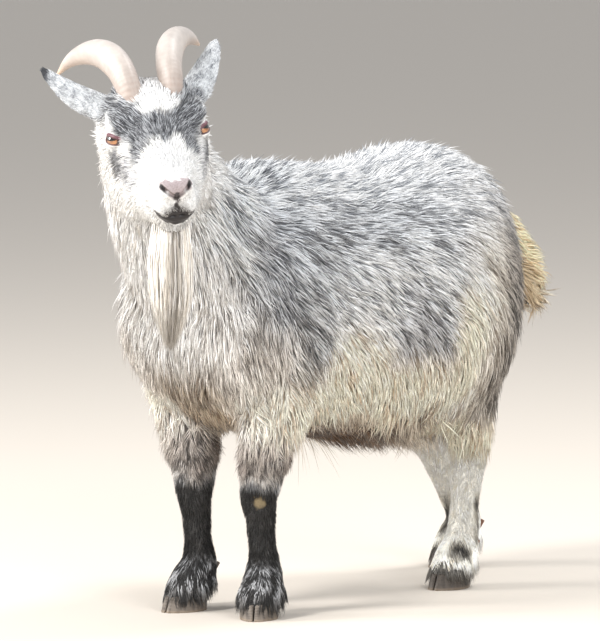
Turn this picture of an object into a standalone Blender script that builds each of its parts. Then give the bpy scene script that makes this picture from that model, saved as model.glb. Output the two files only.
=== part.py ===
"""A pygmy goat standing square on four feet, its head turned to its left, as a museum's life-size model.

Metres, +Z up. The goat faces -Y and its left side is +X. The floor is z = 0, and the origin is
the point of the floor under the middle of the model's box. The solids reach out to the tips of the coat.
The flesh is modelled whole and parted with thin cuts. Horns, eyes, ears, beard and claws are pieces of
their own.
"""

import math

import bmesh
import bpy
import numpy as np
from mathutils import Matrix, Vector

# Driving dimensions
GAP = 0.0003  # clearance left between neighbouring solids
WITHERS = 0.503  # height of the coat over the shoulders
HIPS = 0.508  # height of the coat over the hip bones
BELLY = 0.174  # height of the belly above the floor
BARREL = 0.158  # half the width of the belly
FRONT_CANNON_Y = -0.197  # where the front cannon bones stand, fore and aft
FRONT_STANCE = 0.047  # half the distance between the front cannon bones
HIND_STANCE = 0.058
HOCK_Y = {1: 0.155, -1: 0.229}  # fore and aft, of the left and of the right hind leg
FETLOCK_Y = {1: 0.144, -1: 0.295}  # the right hind foot trails
KNEE, HOCK, FETLOCK, CORONET = 0.131, 0.150, 0.052, 0.024  # heights of the joints above the floor
EYES = Vector((0.037, -0.359, 0.549))  # midpoint between the eyes
HEAD_TURN, HEAD_DROP, HEAD_TIP = 52.4, 25.0, -7.4  # degrees: to its left, nose down, left side up
EYE_AT, EYE_RADIUS = (0.0440, -0.011, -0.003), 0.0118  # in the head's own axes
LEFT_HORN_LIFT, LEFT_HORN_IN = 0.015, 0.0045  # the left horn's tip is this much higher and further in
EAR_LENGTH = 0.078
BEARD_LENGTH = 0.130
CLAW_WIDTH, CLAW_SPLIT = 0.0205, 0.0009  # one claw, and half the slit between the two
VOXEL = 0.004  # grid on which the lofts are merged into one body
FLESH_TRIANGLES = 3900  # of the whole body before it is parted
FACE_DETAIL, LEG_DETAIL = 0.62, 0.8  # how far those parts are thinned out, against 1 for the rest
FACE_REACH = 0.115  # radius of the part of the head that keeps the most detail

# Where the flesh is parted
TAIL_CUT, TAIL_LEAN = (Vector((0, 0.3645, 0.37)), Vector((0.062, 0.2, 0.2))), 14  # a leaning block
HEAD_CUT = (Vector((0, -0.035, 0.002)), Vector((0.27, 0.22, 0.214)))  # a block in the head's own axes
NECK_CUT, NECK_SLOPE = Vector((0, -0.215, 0.420)), Vector((0, -0.80, 0.60))  # a plane, and which side is neck
ELBOW, STIFLE = 0.223, 0.228  # heights at which the legs are parted above the knee and above the hock
CUT_SLOPES = {"foot": -12, "cannon": 7, "upper": 5}  # degrees

FORWARD, UP = Vector((0, -1, 0)), Vector((0, 0, 1))

COLOURS = {
    "coat_grey": ((0.46, 0.47, 0.49), 0.85),
    "coat_white": ((0.80, 0.77, 0.72), 0.85),
    "coat_cream": ((0.70, 0.60, 0.46), 0.85),
    "coat_black": ((0.045, 0.045, 0.047), 0.75),
    "horn": ((0.66, 0.56, 0.45), 0.45),
    "hoof": ((0.20, 0.17, 0.15), 0.55),
    "eye": ((0.35, 0.17, 0.05), 0.08),
}


# Tools ---------------------------------------------------------------------------------------------


def material(name):
    found = bpy.data.materials.get(name)
    if found:
        return found
    colour, roughness = COLOURS[name]
    made = bpy.data.materials.new(name)
    made.use_nodes = True
    shader = made.node_tree.nodes["Principled BSDF"]
    shader.inputs["Base Color"].default_value = (*colour, 1)
    shader.inputs["Roughness"].default_value = roughness
    shader.inputs["Metallic"].default_value = 0.0
    return made


def mesh_from(bm, name="shape"):
    bmesh.ops.recalc_face_normals(bm, faces=bm.faces)
    mesh = bpy.data.meshes.new(name)
    bm.to_mesh(mesh)
    bm.free()
    return mesh


def place(name, mesh, finish):
    """A finished node."""
    made = bpy.data.objects.new(name, mesh)
    bpy.context.scene.collection.objects.link(made)
    mesh.materials.clear()
    mesh.materials.append(material(finish))
    mesh.shade_smooth()
    mesh.set_sharp_from_angle(angle=math.radians(50))
    return made


def modified(mesh, *settings):
    """The mesh after a stack of modifiers, each given as (type, {setting: value})."""
    helper = bpy.data.objects.new("helper", mesh)
    bpy.context.scene.collection.objects.link(helper)
    for kind, values in settings:
        modifier = helper.modifiers.new(kind.lower(), kind)
        for key, value in values.items():
            setattr(modifier, key, value)
    graph = bpy.context.evaluated_depsgraph_get()
    made = bpy.data.meshes.new_from_object(helper.evaluated_get(graph))
    bpy.data.objects.remove(helper)
    return made


def boolean(mesh, other, operation):
    """The mesh cut by, or cut down to, another. A cut that fails outright is made again with more care."""
    cutter = bpy.data.objects.new("cutter", other)
    bpy.context.scene.collection.objects.link(cutter)
    settings = {"operation": operation, "solver": "EXACT", "object": cutter}
    made = modified(mesh, ("BOOLEAN", settings))
    if not made.vertices:
        made = modified(mesh, ("BOOLEAN", {**settings, "use_self": True}))
    bpy.data.objects.remove(cutter)
    return made


def through(rows, steps):
    """A table's rows with smooth rows between them: a Catmull-Rom curve through each column."""
    rows = np.array(rows, float)
    ends = np.vstack([2 * rows[0] - rows[1], rows, 2 * rows[-1] - rows[-2]])
    made = []
    for i in range(len(rows) - 1):
        a, b, c, d = ends[i : i + 4]
        for t in np.arange(steps) / steps:
            bend = (2 * a - 5 * b + 4 * c - d) * t * t + (3 * b - a - 3 * c + d) * t**3
            made.append(b + 0.5 * ((c - a) * t + bend))
    return np.array([*made, rows[-1]])


def oval(centre, side, up, half_width, above, below, sides, pear=0.0, square=2.0):
    """Points of an oval ring. It may be deeper below its centre than above, wider low down or squarish."""
    points = []
    for angle in np.arange(sides) * 2 * math.pi / sides:
        across = math.copysign(abs(math.cos(angle)) ** (2 / square), math.cos(angle))
        high = math.copysign(abs(math.sin(angle)) ** (2 / square), math.sin(angle))
        width = half_width * across * (1 - pear * high)
        points.append(centre + side * width + up * (above if high > 0 else below) * high)
    return points


def add_loft(bm, rings):
    """Bridges rings of points into a closed skin with a flat cap at each end."""
    last = None
    for index, points in enumerate(rings):
        capped = index in (0, len(rings) - 1)
        made = bmesh.ops.create_circle(bm, segments=len(points), radius=1, cap_ends=capped)["verts"]
        for vertex, point in zip(made, points):
            vertex.co = point
        ring = list({edge for vertex in made for edge in vertex.link_edges})
        if last:
            bmesh.ops.bridge_loops(bm, edges=last + ring)
        last = ring


def tube_rings(rows, hint, sides=20, steps=3):
    """Rings along a path. A row is x, y, z, half width, and depth on the hint's side and on the other."""
    rows = through(rows, steps)
    rings = []
    for i, row in enumerate(rows):
        ahead, behind = rows[min(i + 1, len(rows) - 1)][:3], rows[max(i - 1, 0)][:3]
        along = Vector(ahead - behind).normalized()
        side = along.cross(hint).normalized()
        rings.append(oval(Vector(row[:3]), side, side.cross(along), *row[3:6], sides))
    return rings


def ball(centre, radii, turn=None, sides=20, grow=0.0):
    """An ellipsoid as a mesh in a bmesh of its own."""
    bm = bmesh.new()
    shape = Matrix.Translation(centre) @ (turn.to_4x4() if turn else Matrix.Identity(4))
    shape = shape @ Matrix.Diagonal([*(r + grow for r in radii), 1])
    bmesh.ops.create_uvsphere(bm, u_segments=sides, v_segments=sides // 2, radius=1, matrix=shape)
    return bm


def box(centre, size, turn=None):
    """A block as a mesh."""
    bm = bmesh.new()
    shape = Matrix.Translation(centre) @ (turn.to_4x4() if turn else Matrix.Identity(4))
    bmesh.ops.create_cube(bm, size=1, matrix=shape @ Matrix.Diagonal([*size, 1]))
    return mesh_from(bm)


def add(bm, other):
    """Moves the shapes of one bmesh into another."""
    mesh = mesh_from(other)
    bm.from_mesh(mesh)
    bpy.data.meshes.remove(mesh)


# Trunk, neck and tail --------------------------------------------------------------------------------


def add_trunk(bm):
    """The barrel, from the point of the chest to the buttocks. Rows: y, top, bottom, half width."""
    rows = [
        (-0.290, 0.375, 0.310, 0.038),
        (-0.283, 0.410, 0.274, 0.078),
        (-0.264, 0.445, 0.240, 0.106),
        (-0.225, 0.476, 0.214, 0.124),
        (-0.165, WITHERS, 0.197, 0.131),
        (-0.090, 0.497, 0.187, 0.138),
        (-0.010, 0.491, 0.179, 0.150),
        (0.060, 0.500, BELLY, BARREL),
        (0.115, HIPS, 0.172, 0.150),
        (0.160, 0.503, 0.183, 0.131),
        (0.205, 0.486, 0.216, 0.101),
        (0.236, 0.458, 0.255, 0.072),
        (0.256, 0.424, 0.300, 0.044),
        (0.266, 0.395, 0.330, 0.020),
    ]
    rings = []
    for y, top, bottom, half_width in through(rows, 3):
        centre, half = Vector((0, y, (top + bottom) / 2)), (top - bottom) / 2
        rings.append(oval(centre, Vector((1, 0, 0)), UP, half_width, half, half, 32, 0.10, 2.15))
    add_loft(bm, rings)


def add_neck(bm):
    """Upright neck with its thick throat coat. Rows: centre, half width, crest side, throat side."""
    rows = [
        (0.000, -0.150, 0.335, 0.104, 0.095, 0.104),
        (0.000, -0.207, 0.385, 0.102, 0.085, 0.104),
        (-0.002, -0.250, 0.435, 0.096, 0.068, 0.094),
        (-0.012, -0.280, 0.480, 0.081, 0.052, 0.084),
        (-0.020, -0.300, 0.518, 0.064, 0.042, 0.066),
        (-0.026, -0.314, 0.546, 0.046, 0.030, 0.045),
    ]
    add_loft(bm, tube_rings(rows, Vector((0, 0.75, 0.66)), sides=28))


def add_tail(bm):
    """Short bushy tail that hangs a little away from the rump."""
    rows = [
        (0, 0.235, 0.428, 0.018, 0.018, 0.020),
        (0, 0.262, 0.421, 0.020, 0.016, 0.022),
        (0, 0.290, 0.398, 0.024, 0.016, 0.026),
        (0, 0.313, 0.365, 0.027, 0.017, 0.027),
        (0, 0.334, 0.332, 0.023, 0.014, 0.021),
        (0, 0.352, 0.302, 0.009, 0.006, 0.008),
    ]
    add_loft(bm, tube_rings(rows, UP, sides=16))


# Legs ------------------------------------------------------------------------------------------------


def front_leg(side):
    """(rows of the leg from shoulder to foot, foot's turn). side is 1 for the left leg, -1 for the right."""
    x, y = side * FRONT_STANCE, FRONT_CANNON_Y
    turn = math.radians(28 if side > 0 else -2)  # the left foot points outwards
    toe = Vector((math.sin(turn), -math.cos(turn), 0))
    rows = [
        (side * 0.050, y + 0.040, 0.430, 0.030, 0.040, 0.040),
        (side * 0.073, y + 0.028, 0.385, 0.045, 0.060, 0.064),
        (side * 0.082, y + 0.018, 0.330, 0.054, 0.064, 0.068),
        (side * 0.074, y + 0.010, 0.265, 0.052, 0.050, 0.052),
        (side * 0.060, y + 0.005, 0.215, 0.042, 0.042, 0.038),
        (x + side * 0.003, y + 0.001, 0.168, 0.0300, 0.029, 0.027),
        (x, y - 0.002, KNEE, 0.0205, 0.021, 0.020),
        (x, y + 0.001, 0.108, 0.0165, 0.017, 0.017),
        (x, y + 0.003, 0.078, 0.0150, 0.015, 0.016),
        (x, y + 0.006, FETLOCK, 0.0185, 0.018, 0.021),
        (*(Vector((x, y + 0.006, 0.034)) + toe * 0.012), 0.0225, 0.022, 0.024),
        (*(Vector((x, y + 0.006, 0.018)) + toe * 0.022), 0.0230, 0.024, 0.024),
        (*(Vector((x, y + 0.006, 0.008)) + toe * 0.026), 0.0225, 0.024, 0.024),
    ]
    return rows, turn


def hind_leg(side):
    """(rows of the leg from thigh to foot, foot's turn)."""
    hock, y = HOCK_Y[side], FETLOCK_Y[side]
    x = side * HIND_STANCE
    lag = hock - HOCK_Y[1]  # how far the leg is stretched back
    turn = math.radians(4 * side)
    toe = Vector((math.sin(turn), -math.cos(turn), 0))
    rows = [
        (side * 0.048, 0.140, 0.410, 0.040, 0.080, 0.070),
        (side * 0.064, 0.138 + 0.12 * lag, 0.340, 0.043, 0.090, 0.072),
        (side * 0.070, 0.130 + 0.35 * lag, 0.280, 0.042, 0.072, 0.072),
        (side * 0.069, 0.138 + 0.62 * lag, 0.225, 0.036, 0.050, 0.056),
        (side * 0.064, hock - 0.006 - 0.10 * lag, 0.184, 0.026, 0.030, 0.036),
        (x, hock, HOCK, 0.0200, 0.019, 0.026),
        (x, 0.70 * hock + 0.30 * y, 0.120, 0.0170, 0.017, 0.021),
        (x, 0.35 * hock + 0.65 * y, 0.085, 0.0160, 0.016, 0.018),
        (x, y, FETLOCK, 0.0185, 0.018, 0.021),
        (*(Vector((x, y, 0.036)) + toe * 0.012), 0.0210, 0.021, 0.023),
        (*(Vector((x, y, 0.020)) + toe * 0.022), 0.0220, 0.023, 0.023),
        (*(Vector((x, y, 0.008)) + toe * 0.026), 0.0220, 0.023, 0.023),
    ]
    return rows, turn


LEGS = {
    "front_left": (*front_leg(1), 1),
    "front_right": (*front_leg(-1), -1),
    "hind_left": (*hind_leg(1), 1),
    "hind_right": (*hind_leg(-1), -1),
}


def foot_frame(name):
    """The foot's own axes: origin on the floor under the fetlock, -Y towards the toes."""
    rows, turn, _ = LEGS[name]
    x, y = next(row[:2] for row in rows if row[2] == FETLOCK)
    return Matrix.Translation((x, y, 0)) @ Matrix.Rotation(turn, 4, "Z")


def coronet_frame(name):
    """Axes of the coronet, which slopes down towards the heel: its upper side is +Z."""
    middle = Matrix.Translation((0, -0.026, CORONET))
    return foot_frame(name) @ middle @ Matrix.Rotation(math.radians(16), 4, "X")


def coronet_cut(name):
    """A block whose top face is the coronet, where skin gives way to horn."""
    size = Vector((0.10, 0.13, 0.06))
    frame = coronet_frame(name)
    return box(frame @ Vector((0, 0, -size.z / 2)), size, frame.to_3x3())


def claw(name, outer):
    """Half a cloven hoof: flat inside, rounded outside, pointed at the toe, flat underneath."""
    sides = 14
    rows = [  # height, heel, toe, share of full width
        (0.0, 0.002, -0.057, 1.0),
        (0.015, 0.003, -0.051, 0.97),
        (0.034, 0.002, -0.042, 0.90),
    ]
    bm = bmesh.new()
    rings = []
    for height, heel, toe, share in rows:
        middle, half = (heel + toe) / 2, (heel - toe) / 2
        ring = []
        for angle in np.arange(sides) * 2 * math.pi / sides:
            along = math.sin(angle)
            taper = 1 - 0.42 * max(0.0, -along) ** 1.6  # narrows towards the toe
            across = abs(math.cos(angle)) ** 0.75 * CLAW_WIDTH * share * taper
            across = CLAW_SPLIT + (across if math.cos(angle) > 0 else 0.0)
            ring.append(Vector((outer * across, middle + half * along, height)))
        rings.append(ring if outer > 0 else ring[::-1])
    add_loft(bm, rings)
    bmesh.ops.remove_doubles(bm, verts=bm.verts, dist=0.0002)
    bmesh.ops.transform(bm, matrix=foot_frame(name), verts=bm.verts)
    normal = coronet_frame(name).to_3x3() @ UP
    level = coronet_frame(name).translation - normal * GAP
    geometry = [*bm.verts, *bm.edges, *bm.faces]
    bmesh.ops.bisect_plane(bm, geom=geometry, plane_co=level, plane_no=normal, clear_outer=True)
    open_edges = [edge for edge in bm.edges if edge.is_boundary]
    bmesh.ops.holes_fill(bm, edges=open_edges)
    return mesh_from(bm)


def dewclaw(name, outer):
    """One of the two small horny knobs behind the fetlock."""
    tip_radius, root_radius, length = 0.003, 0.0058, 0.017
    tip_down = Matrix.Rotation(math.radians(-28), 4, "X")
    at = Matrix.Translation((outer * 0.0095, 0.0200, FETLOCK - 0.010))
    bm = bmesh.new()
    sizes = {"radius1": tip_radius, "radius2": root_radius, "depth": length, "segments": 8}
    bmesh.ops.create_cone(bm, cap_ends=True, matrix=foot_frame(name) @ at @ tip_down, **sizes)
    return mesh_from(bm)


# Head ------------------------------------------------------------------------------------------------

HEAD = (
    Matrix.Translation(EYES)
    @ Matrix.Rotation(math.radians(HEAD_TURN), 4, "Z")
    @ Matrix.Rotation(math.radians(HEAD_DROP), 4, "X")
    @ Matrix.Rotation(math.radians(HEAD_TIP), 4, "Y")
)


def add_head(bm):
    """Skull, face and jaw in the head's own axes: origin between the eyes, -Y towards the nose."""
    face = [  # y, top, bottom, half width
        (0.088, -0.004, -0.055, 0.024),
        (0.078, 0.016, -0.075, 0.042),
        (0.055, 0.034, -0.092, 0.053),
        (0.028, 0.046, -0.100, 0.0585),
        (0.004, 0.046, -0.102, 0.0590),
        (-0.018, 0.036, -0.101, 0.0545),
        (-0.040, 0.026, -0.095, 0.0485),
        (-0.062, 0.018, -0.087, 0.0420),
        (-0.083, 0.012, -0.079, 0.0345),
        (-0.100, 0.007, -0.072, 0.0285),
        (-0.112, 0.001, -0.062, 0.0240),
        (-0.119, -0.006, -0.049, 0.0180),
    ]
    rings = []
    for y, top, bottom, half_width in through(face, 2):
        middle = top - 0.42 * (top - bottom)
        ends = (top - middle, middle - bottom)
        rings.append(oval(Vector((0, y, middle)), Vector((1, 0, 0)), UP, half_width, *ends, 28, 0.04, 2.25))
    shapes = bmesh.new()
    add_loft(shapes, rings)
    knobs = [  # centre of the left one, radii
        ((0.0405, -0.004, 0.017), (0.018, 0.025, 0.014)),  # brow over the eye
        ((0.024, 0.024, 0.032), (0.019, 0.020, 0.016)),  # boss that carries the horn
        ((0.050, 0.047, 0.000), (0.016, 0.018, 0.018)),  # root of the ear
        ((0.031, -0.006, -0.062), (0.0265, 0.052, 0.040)),  # cheek
        ((0.011, -0.105, -0.033), (0.0160, 0.019, 0.0190)),  # upper lip
        ((0.0110, -0.112, -0.010), (0.0105, 0.0125, 0.0095)),  # wing of the nose
    ]
    for (x, y, z), radii in knobs:
        for side in (1, -1):
            add(shapes, ball((side * x, y, z), radii))
    add(shapes, ball((0, -0.092, -0.064), (0.0200, 0.022, 0.0150)))  # lower lip and chin
    add(shapes, ball((0, -0.117, -0.010), (0.0135, 0.0085, 0.0095)))  # nose leather
    bmesh.ops.transform(shapes, matrix=HEAD, verts=shapes.verts)
    add(bm, shapes)


def face_cuts():
    """Nostrils and the line of the mouth, as one cutter."""
    shapes = bmesh.new()
    for side in (1, -1):
        slant = Matrix.Rotation(side * math.radians(35), 3, "Y")
        add(shapes, ball((side * 0.0125, -0.121, -0.0085), (0.0045, 0.0060, 0.0020), slant, 10))
    lips = []
    for share in np.linspace(-1, 1, 11):
        spread = 0.030 * math.sin(share * math.pi / 2)
        back = -0.127 + 0.052 * share * share
        height = -0.0530 + 0.007 * share * share
        lips.append((spread, back, height, 0.0009, 0.0050, 0.0050))
    add_loft(shapes, tube_rings(lips, FORWARD, sides=6, steps=1))
    bmesh.ops.transform(shapes, matrix=HEAD, verts=shapes.verts)
    return mesh_from(shapes)


def eye(side, grow=0.0):
    x, y, z = EYE_AT
    bm = ball((side * x, y, z), (EYE_RADIUS,) * 3, sides=14, grow=grow)
    bmesh.ops.transform(bm, matrix=HEAD, verts=bm.verts)
    return mesh_from(bm)


def horn(side):
    """Hollow-horned goats carry a tapering sickle that rises, then sweeps back and outwards."""
    rows = [
        (side * 0.0215, 0.010, 0.022, 0.0132, 0.0168, 0.0168),
        (side * 0.0240, 0.024, 0.038, 0.0134, 0.0170, 0.0170),
        (side * 0.0278, 0.0455, 0.0490, 0.0142, 0.0176, 0.0182),
        (side * 0.0348, 0.0685, 0.0525, 0.0146, 0.0172, 0.0184),
        (side * 0.0450, 0.0925, 0.0480, 0.0130, 0.0146, 0.0160),
        (side * 0.0575, 0.1180, 0.0345, 0.0098, 0.0108, 0.0118),
        (side * 0.0705, 0.1420, 0.0140, 0.0060, 0.0066, 0.0070),
        (side * 0.0815, 0.1600, -0.0105, 0.0014, 0.0015, 0.0015),
    ]
    if side > 0:
        for i, (x, y, z, *sizes) in enumerate(rows):
            rows[i] = (x - LEFT_HORN_IN * min(1, i / 3), y, z + LEFT_HORN_LIFT * (i / 7) ** 3, *sizes)
    bm = bmesh.new()
    add_loft(bm, tube_rings(rows, Vector((0, 0.3, 1)), sides=10, steps=2))
    bmesh.ops.transform(bm, matrix=HEAD, verts=bm.verts)
    return mesh_from(bm)


EARS = {  # root, way the ear points, way its hollow faces, in the head's axes, share of its full width shown
    "left": ((0.0410, 0.057, 0.006), (0.606, 0.709, 0.372), (0.52, 0.50, -0.68), 1.0),
    "right": ((-0.0465, 0.052, 0.012), (-0.837, 0.201, 0.509), (-0.45, 0.38, -0.80), 0.93),
}


def ear(name):
    """A cupped leaf of gristle and fur, rolled into a tube at its root."""
    root, point, opening = (Vector(v) for v in EARS[name][:3])
    breadth = EARS[name][3]
    point.normalize()
    across = point.cross(opening).normalized()
    facing = across.cross(point).normalized()
    rows = [  # share of the length, half width, curl of the edges in degrees, thickness
        (-0.10, 0.0125, 125, 0.0060),
        (0.06, 0.0165, 112, 0.0056),
        (0.22, 0.0190, 92, 0.0052),
        (0.42, 0.0182, 74, 0.0048),
        (0.62, 0.0155, 62, 0.0044),
        (0.80, 0.0115, 54, 0.0038),
        (0.93, 0.0086, 46, 0.0032),
        (1.00, 0.0046, 34, 0.0024),
    ]
    rings = []
    for share, half_width, curl, thickness in through(rows, 1):
        centre = root + point * (share * EAR_LENGTH) + facing * (0.005 * math.sin(math.pi * max(0.0, share)))
        curl = math.radians(curl)
        radius = breadth * half_width / math.sin(min(curl, math.pi / 2))
        outer, inner = [], []
        for angle in np.linspace(-curl, curl, 7):
            spoke = across * math.sin(angle) - facing * math.cos(angle)
            hub = centre + facing * radius
            outer.append(hub + spoke * (radius + thickness / 2))
            inner.append(hub + spoke * (radius - thickness / 2))
        rings.append(outer + inner[::-1])
    bm = bmesh.new()
    add_loft(bm, rings)
    bmesh.ops.transform(bm, matrix=HEAD, verts=bm.verts)
    return mesh_from(bm)


def beard():
    """A flat tuft of long hair that hangs straight down from the chin."""
    chin = HEAD @ Vector((0, -0.077, -0.066))
    aside = (HEAD.to_3x3() @ Vector((1, 0, 0))).normalized()
    hang = -UP - aside * 0.02
    profile = [  # share of the length, half width, depth
        (0.00, 0.017, 0.015),
        (0.15, 0.021, 0.015),
        (0.38, 0.023, 0.014),
        (0.62, 0.019, 0.012),
        (0.83, 0.012, 0.009),
        (1.00, 0.004, 0.004),
    ]
    rows = []
    for share, half_width, depth in profile:
        rows.append((*(chin + hang * share * BEARD_LENGTH), half_width, depth, depth))
    bm = bmesh.new()
    forward = (HEAD.to_3x3() @ FORWARD).cross(UP).cross(-UP)
    add_loft(bm, tube_rings(rows, forward.normalized(), sides=12, steps=1))
    return mesh_from(bm)


# The body, whole and then parted ----------------------------------------------------------------------


def whole_body():
    """All flesh merged on a voxel grid, smoothed, and thinned out most where it is plainest."""
    bm = bmesh.new()
    add_trunk(bm)
    add_neck(bm)
    add_tail(bm)
    add_head(bm)
    for rows, _, _ in LEGS.values():
        add_loft(bm, tube_rings(rows, FORWARD, sides=18))
    merged = modified(
        mesh_from(bm),
        ("REMESH", {"mode": "VOXEL", "voxel_size": VOXEL}),
        ("SMOOTH", {"factor": 0.5, "iterations": 4}),
    )
    body = bpy.data.objects.new("body", merged)
    bpy.context.scene.collection.objects.link(body)
    plain = body.vertex_groups.new(name="plain")
    face = HEAD @ Vector((0, -0.05, -0.01))
    for vertex in merged.vertices:
        away = (vertex.co - face).length
        low = vertex.co.z < HOCK + 0.01
        detail = FACE_DETAIL if away < FACE_REACH else (LEG_DETAIL if low else 1.0)
        plain.add([vertex.index], detail, "REPLACE")
    thin = body.modifiers.new("thin", "DECIMATE")
    thin.ratio = FLESH_TRIANGLES / sum(len(p.vertices) - 2 for p in merged.polygons)
    thin.vertex_group, thin.vertex_group_factor = plain.name, 1.0
    thin.use_collapse_triangulate = True
    graph = bpy.context.evaluated_depsgraph_get()
    made = bpy.data.meshes.new_from_object(body.evaluated_get(graph))
    bpy.data.objects.remove(body)
    made.materials.clear()
    return made


def inflated(mesh, by):
    """The mesh with each vertex moved out along its normal."""
    bm = bmesh.new()
    bm.from_mesh(mesh)
    bm.normal_update()
    moves = [vertex.normal * by for vertex in bm.verts]
    for vertex, move in zip(bm.verts, moves):
        vertex.co += move
    made = bpy.data.meshes.new("inflated")
    bm.to_mesh(made)
    bm.free()
    return made


def without_slivers(mesh):
    """The mesh without the specks that a cut leaves where it grazes a facet."""
    bm = bmesh.new()
    bm.from_mesh(mesh)
    bodies, left = [], set(bm.verts)
    while left:
        body, edge = set(), [next(iter(left))]
        while edge:
            vertex = edge.pop()
            if vertex not in body:
                body.add(vertex)
                edge += [link.other_vert(vertex) for link in vertex.link_edges]
        left -= body
        bodies.append(body)
    most = max(len(body) for body in bodies)
    specks = [vertex for body in bodies if len(body) < most for vertex in body]
    bmesh.ops.delete(bm, geom=specks, context="VERTS")
    bm.to_mesh(mesh)
    bm.free()
    return mesh


def split(mesh, region, grown):
    """(what lies in the region, what lies outside the grown region)."""
    inside, outside = boolean(mesh, region, "INTERSECT"), boolean(mesh, grown, "DIFFERENCE")
    return without_slivers(inside), without_slivers(outside)


def block(profile, near, far, across, grow=0.0):
    """A straight-sided block: an outline of (sideways or lengthways, height), drawn out from near to far."""
    corners = [Vector(point) for point in profile]
    moved = []
    for i, corner in enumerate(corners):
        edges = (corner - corners[i - 1], corners[(i + 1) % len(corners)] - corner)
        outward = [Vector((edge.y, -edge.x)).normalized() for edge in edges]
        moved.append(corner + (outward[0] + outward[1]) * grow / (1 + outward[0].dot(outward[1])))
    rings = []
    for depth in (near - grow, far + grow):
        if across:
            rings.append([Vector((u, depth, v)) for u, v in moved])
        else:
            rings.append([Vector((depth, u, v)) for u, v in moved])
    bm = bmesh.new()
    add_loft(bm, rings)
    return mesh_from(bm)


FRONT_ROOM = [(0.3, -0.05), (0.3, 0.37), (0.15, 0.37), (0.0005, 0.198), (0.0005, -0.05)]  # outwards, height
FRONT_ROOM_REACH = (-0.292, -0.112)  # fore and aft
HIND_ROOM = [  # fore and aft, height
    (0.5, -0.05),
    (0.5, 0.434),
    (0.27, 0.424),
    (0.15, 0.372),
    (0.082, 0.29),
    (0.046, 0.19),
    (0.046, -0.05),
]
HIND_ROOM_REACH = (0.0005, 0.3)  # outwards


def limb_region(name, grow):
    """The room of one leg: for a front leg up to the shoulder blade, for a hind leg the whole haunch."""
    side = LEGS[name][2]
    if "front" in name:
        profile = [(side * x, z) for x, z in FRONT_ROOM[::side]]
        return block(profile, *FRONT_ROOM_REACH, True, grow)
    near, far = sorted(side * x for x in HIND_ROOM_REACH)
    return block(HIND_ROOM, near, far, False, grow)


def parted_by_box(mesh, centre, size, turn):
    """(what lies in a block, what lies GAP outside it)."""
    return split(mesh, box(centre, size, turn), box(centre, size + Vector((2, 2, 2)) * GAP, turn))


def part_body(body):
    """Cuts the body into named nodes, each GAP away from the next."""
    pieces = {}
    lean = Matrix.Rotation(math.radians(TAIL_LEAN), 3, "X")
    pieces["tail"], rest = parted_by_box(body, *TAIL_CUT, lean)
    pieces["head"], rest = parted_by_box(rest, HEAD @ HEAD_CUT[0], HEAD_CUT[1], HEAD.to_3x3())
    side = 0.5  # of a block with room for the whole neck
    turn = NECK_SLOPE.to_track_quat("Z", "Y").to_matrix()
    middle = NECK_CUT + NECK_SLOPE * side / 2
    near, grown = box(middle, (side,) * 3, turn), box(middle - NECK_SLOPE * GAP, (side,) * 3, turn)
    pieces["neck"], rest = split(rest, near, grown)
    for name in LEGS:
        limb, rest = split(rest, limb_region(name, 0), limb_region(name, GAP))
        limb = boolean(limb, coronet_cut(name), "DIFFERENCE")
        front = "front" in name
        top, upper = ("shoulder", "forearm") if front else ("thigh", "gaskin")
        cuts = [
            ("foot", FETLOCK + 0.006, CUT_SLOPES["foot"]),
            ("cannon", KNEE + 0.003 if front else HOCK + 0.004, CUT_SLOPES["cannon"]),
            (upper, ELBOW if front else STIFLE, CUT_SLOPES["upper"]),
        ]
        reach = Vector((0.5, 0.9, 0.3))
        for label, height, slope in cuts:
            x, y = foot_frame(name).translation[:2]
            turn = Matrix.Rotation(math.radians(slope), 3, "X")
            middle = Vector((x, y, height - reach.z / 2))
            low, high = box(middle, reach, turn), box(middle + UP * GAP, reach, turn)
            pieces[f"{label}_{name}"], limb = split(limb, low, high)
        pieces[f"{top}_{name}"] = limb
    pieces["trunk"] = rest
    return pieces


def finish_of(name):
    """The main colour of the coat on a piece of flesh."""
    if name.startswith(("foot_front", "cannon_front")):
        return "coat_black"
    if name.startswith(("foot", "cannon", "gaskin", "tail")):
        return "coat_cream"
    return "coat_white" if name in ("head", "neck") else "coat_grey"


def build():
    for old in list(bpy.data.objects):
        bpy.data.objects.remove(old)
    body = whole_body()
    pieces = part_body(body)
    head = boolean(pieces["head"], face_cuts(), "DIFFERENCE")
    for label, side in (("left", 1), ("right", -1)):
        head = boolean(head, eye(side, GAP), "DIFFERENCE")
        place(f"eye_{label}", eye(side), "eye")
    pieces["head"] = head
    skin = inflated(body, GAP)
    for label, side in (("left", 1), ("right", -1)):
        place(f"horn_{label}", boolean(horn(side), skin, "DIFFERENCE"), "horn")
        place(f"ear_{label}", boolean(ear(label), skin, "DIFFERENCE"), "coat_grey")
    place("beard", boolean(beard(), skin, "DIFFERENCE"), "coat_cream")
    for name in LEGS:
        for label, outer in (("outer", LEGS[name][2]), ("inner", -LEGS[name][2])):
            place(f"claw_{name}_{label}", claw(name, outer), "hoof")
            place(f"dewclaw_{name}_{label}", boolean(dewclaw(name, outer), skin, "DIFFERENCE"), "hoof")
    for name, mesh in pieces.items():
        place(name, mesh, finish_of(name))
    stand_on_origin()


def stand_on_origin():
    """Moves everything so that the origin lies under the middle of the model's box."""
    points = np.array([v.co for o in bpy.data.objects for v in o.data.vertices])
    low, high = points.min(0), points.max(0)
    move = Matrix.Translation((-(low[0] + high[0]) / 2, -(low[1] + high[1]) / 2, -low[2]))
    for piece in bpy.data.objects:
        piece.data.transform(move)


build()
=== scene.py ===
"""A pygmy goat as a museum's life-size model: hide, coat in solid locks, eyes, horns and hooves.

The goat faces -Y and its left side is +X. Everything is in metres, in the frame of the solid model.
"""

import math

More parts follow.
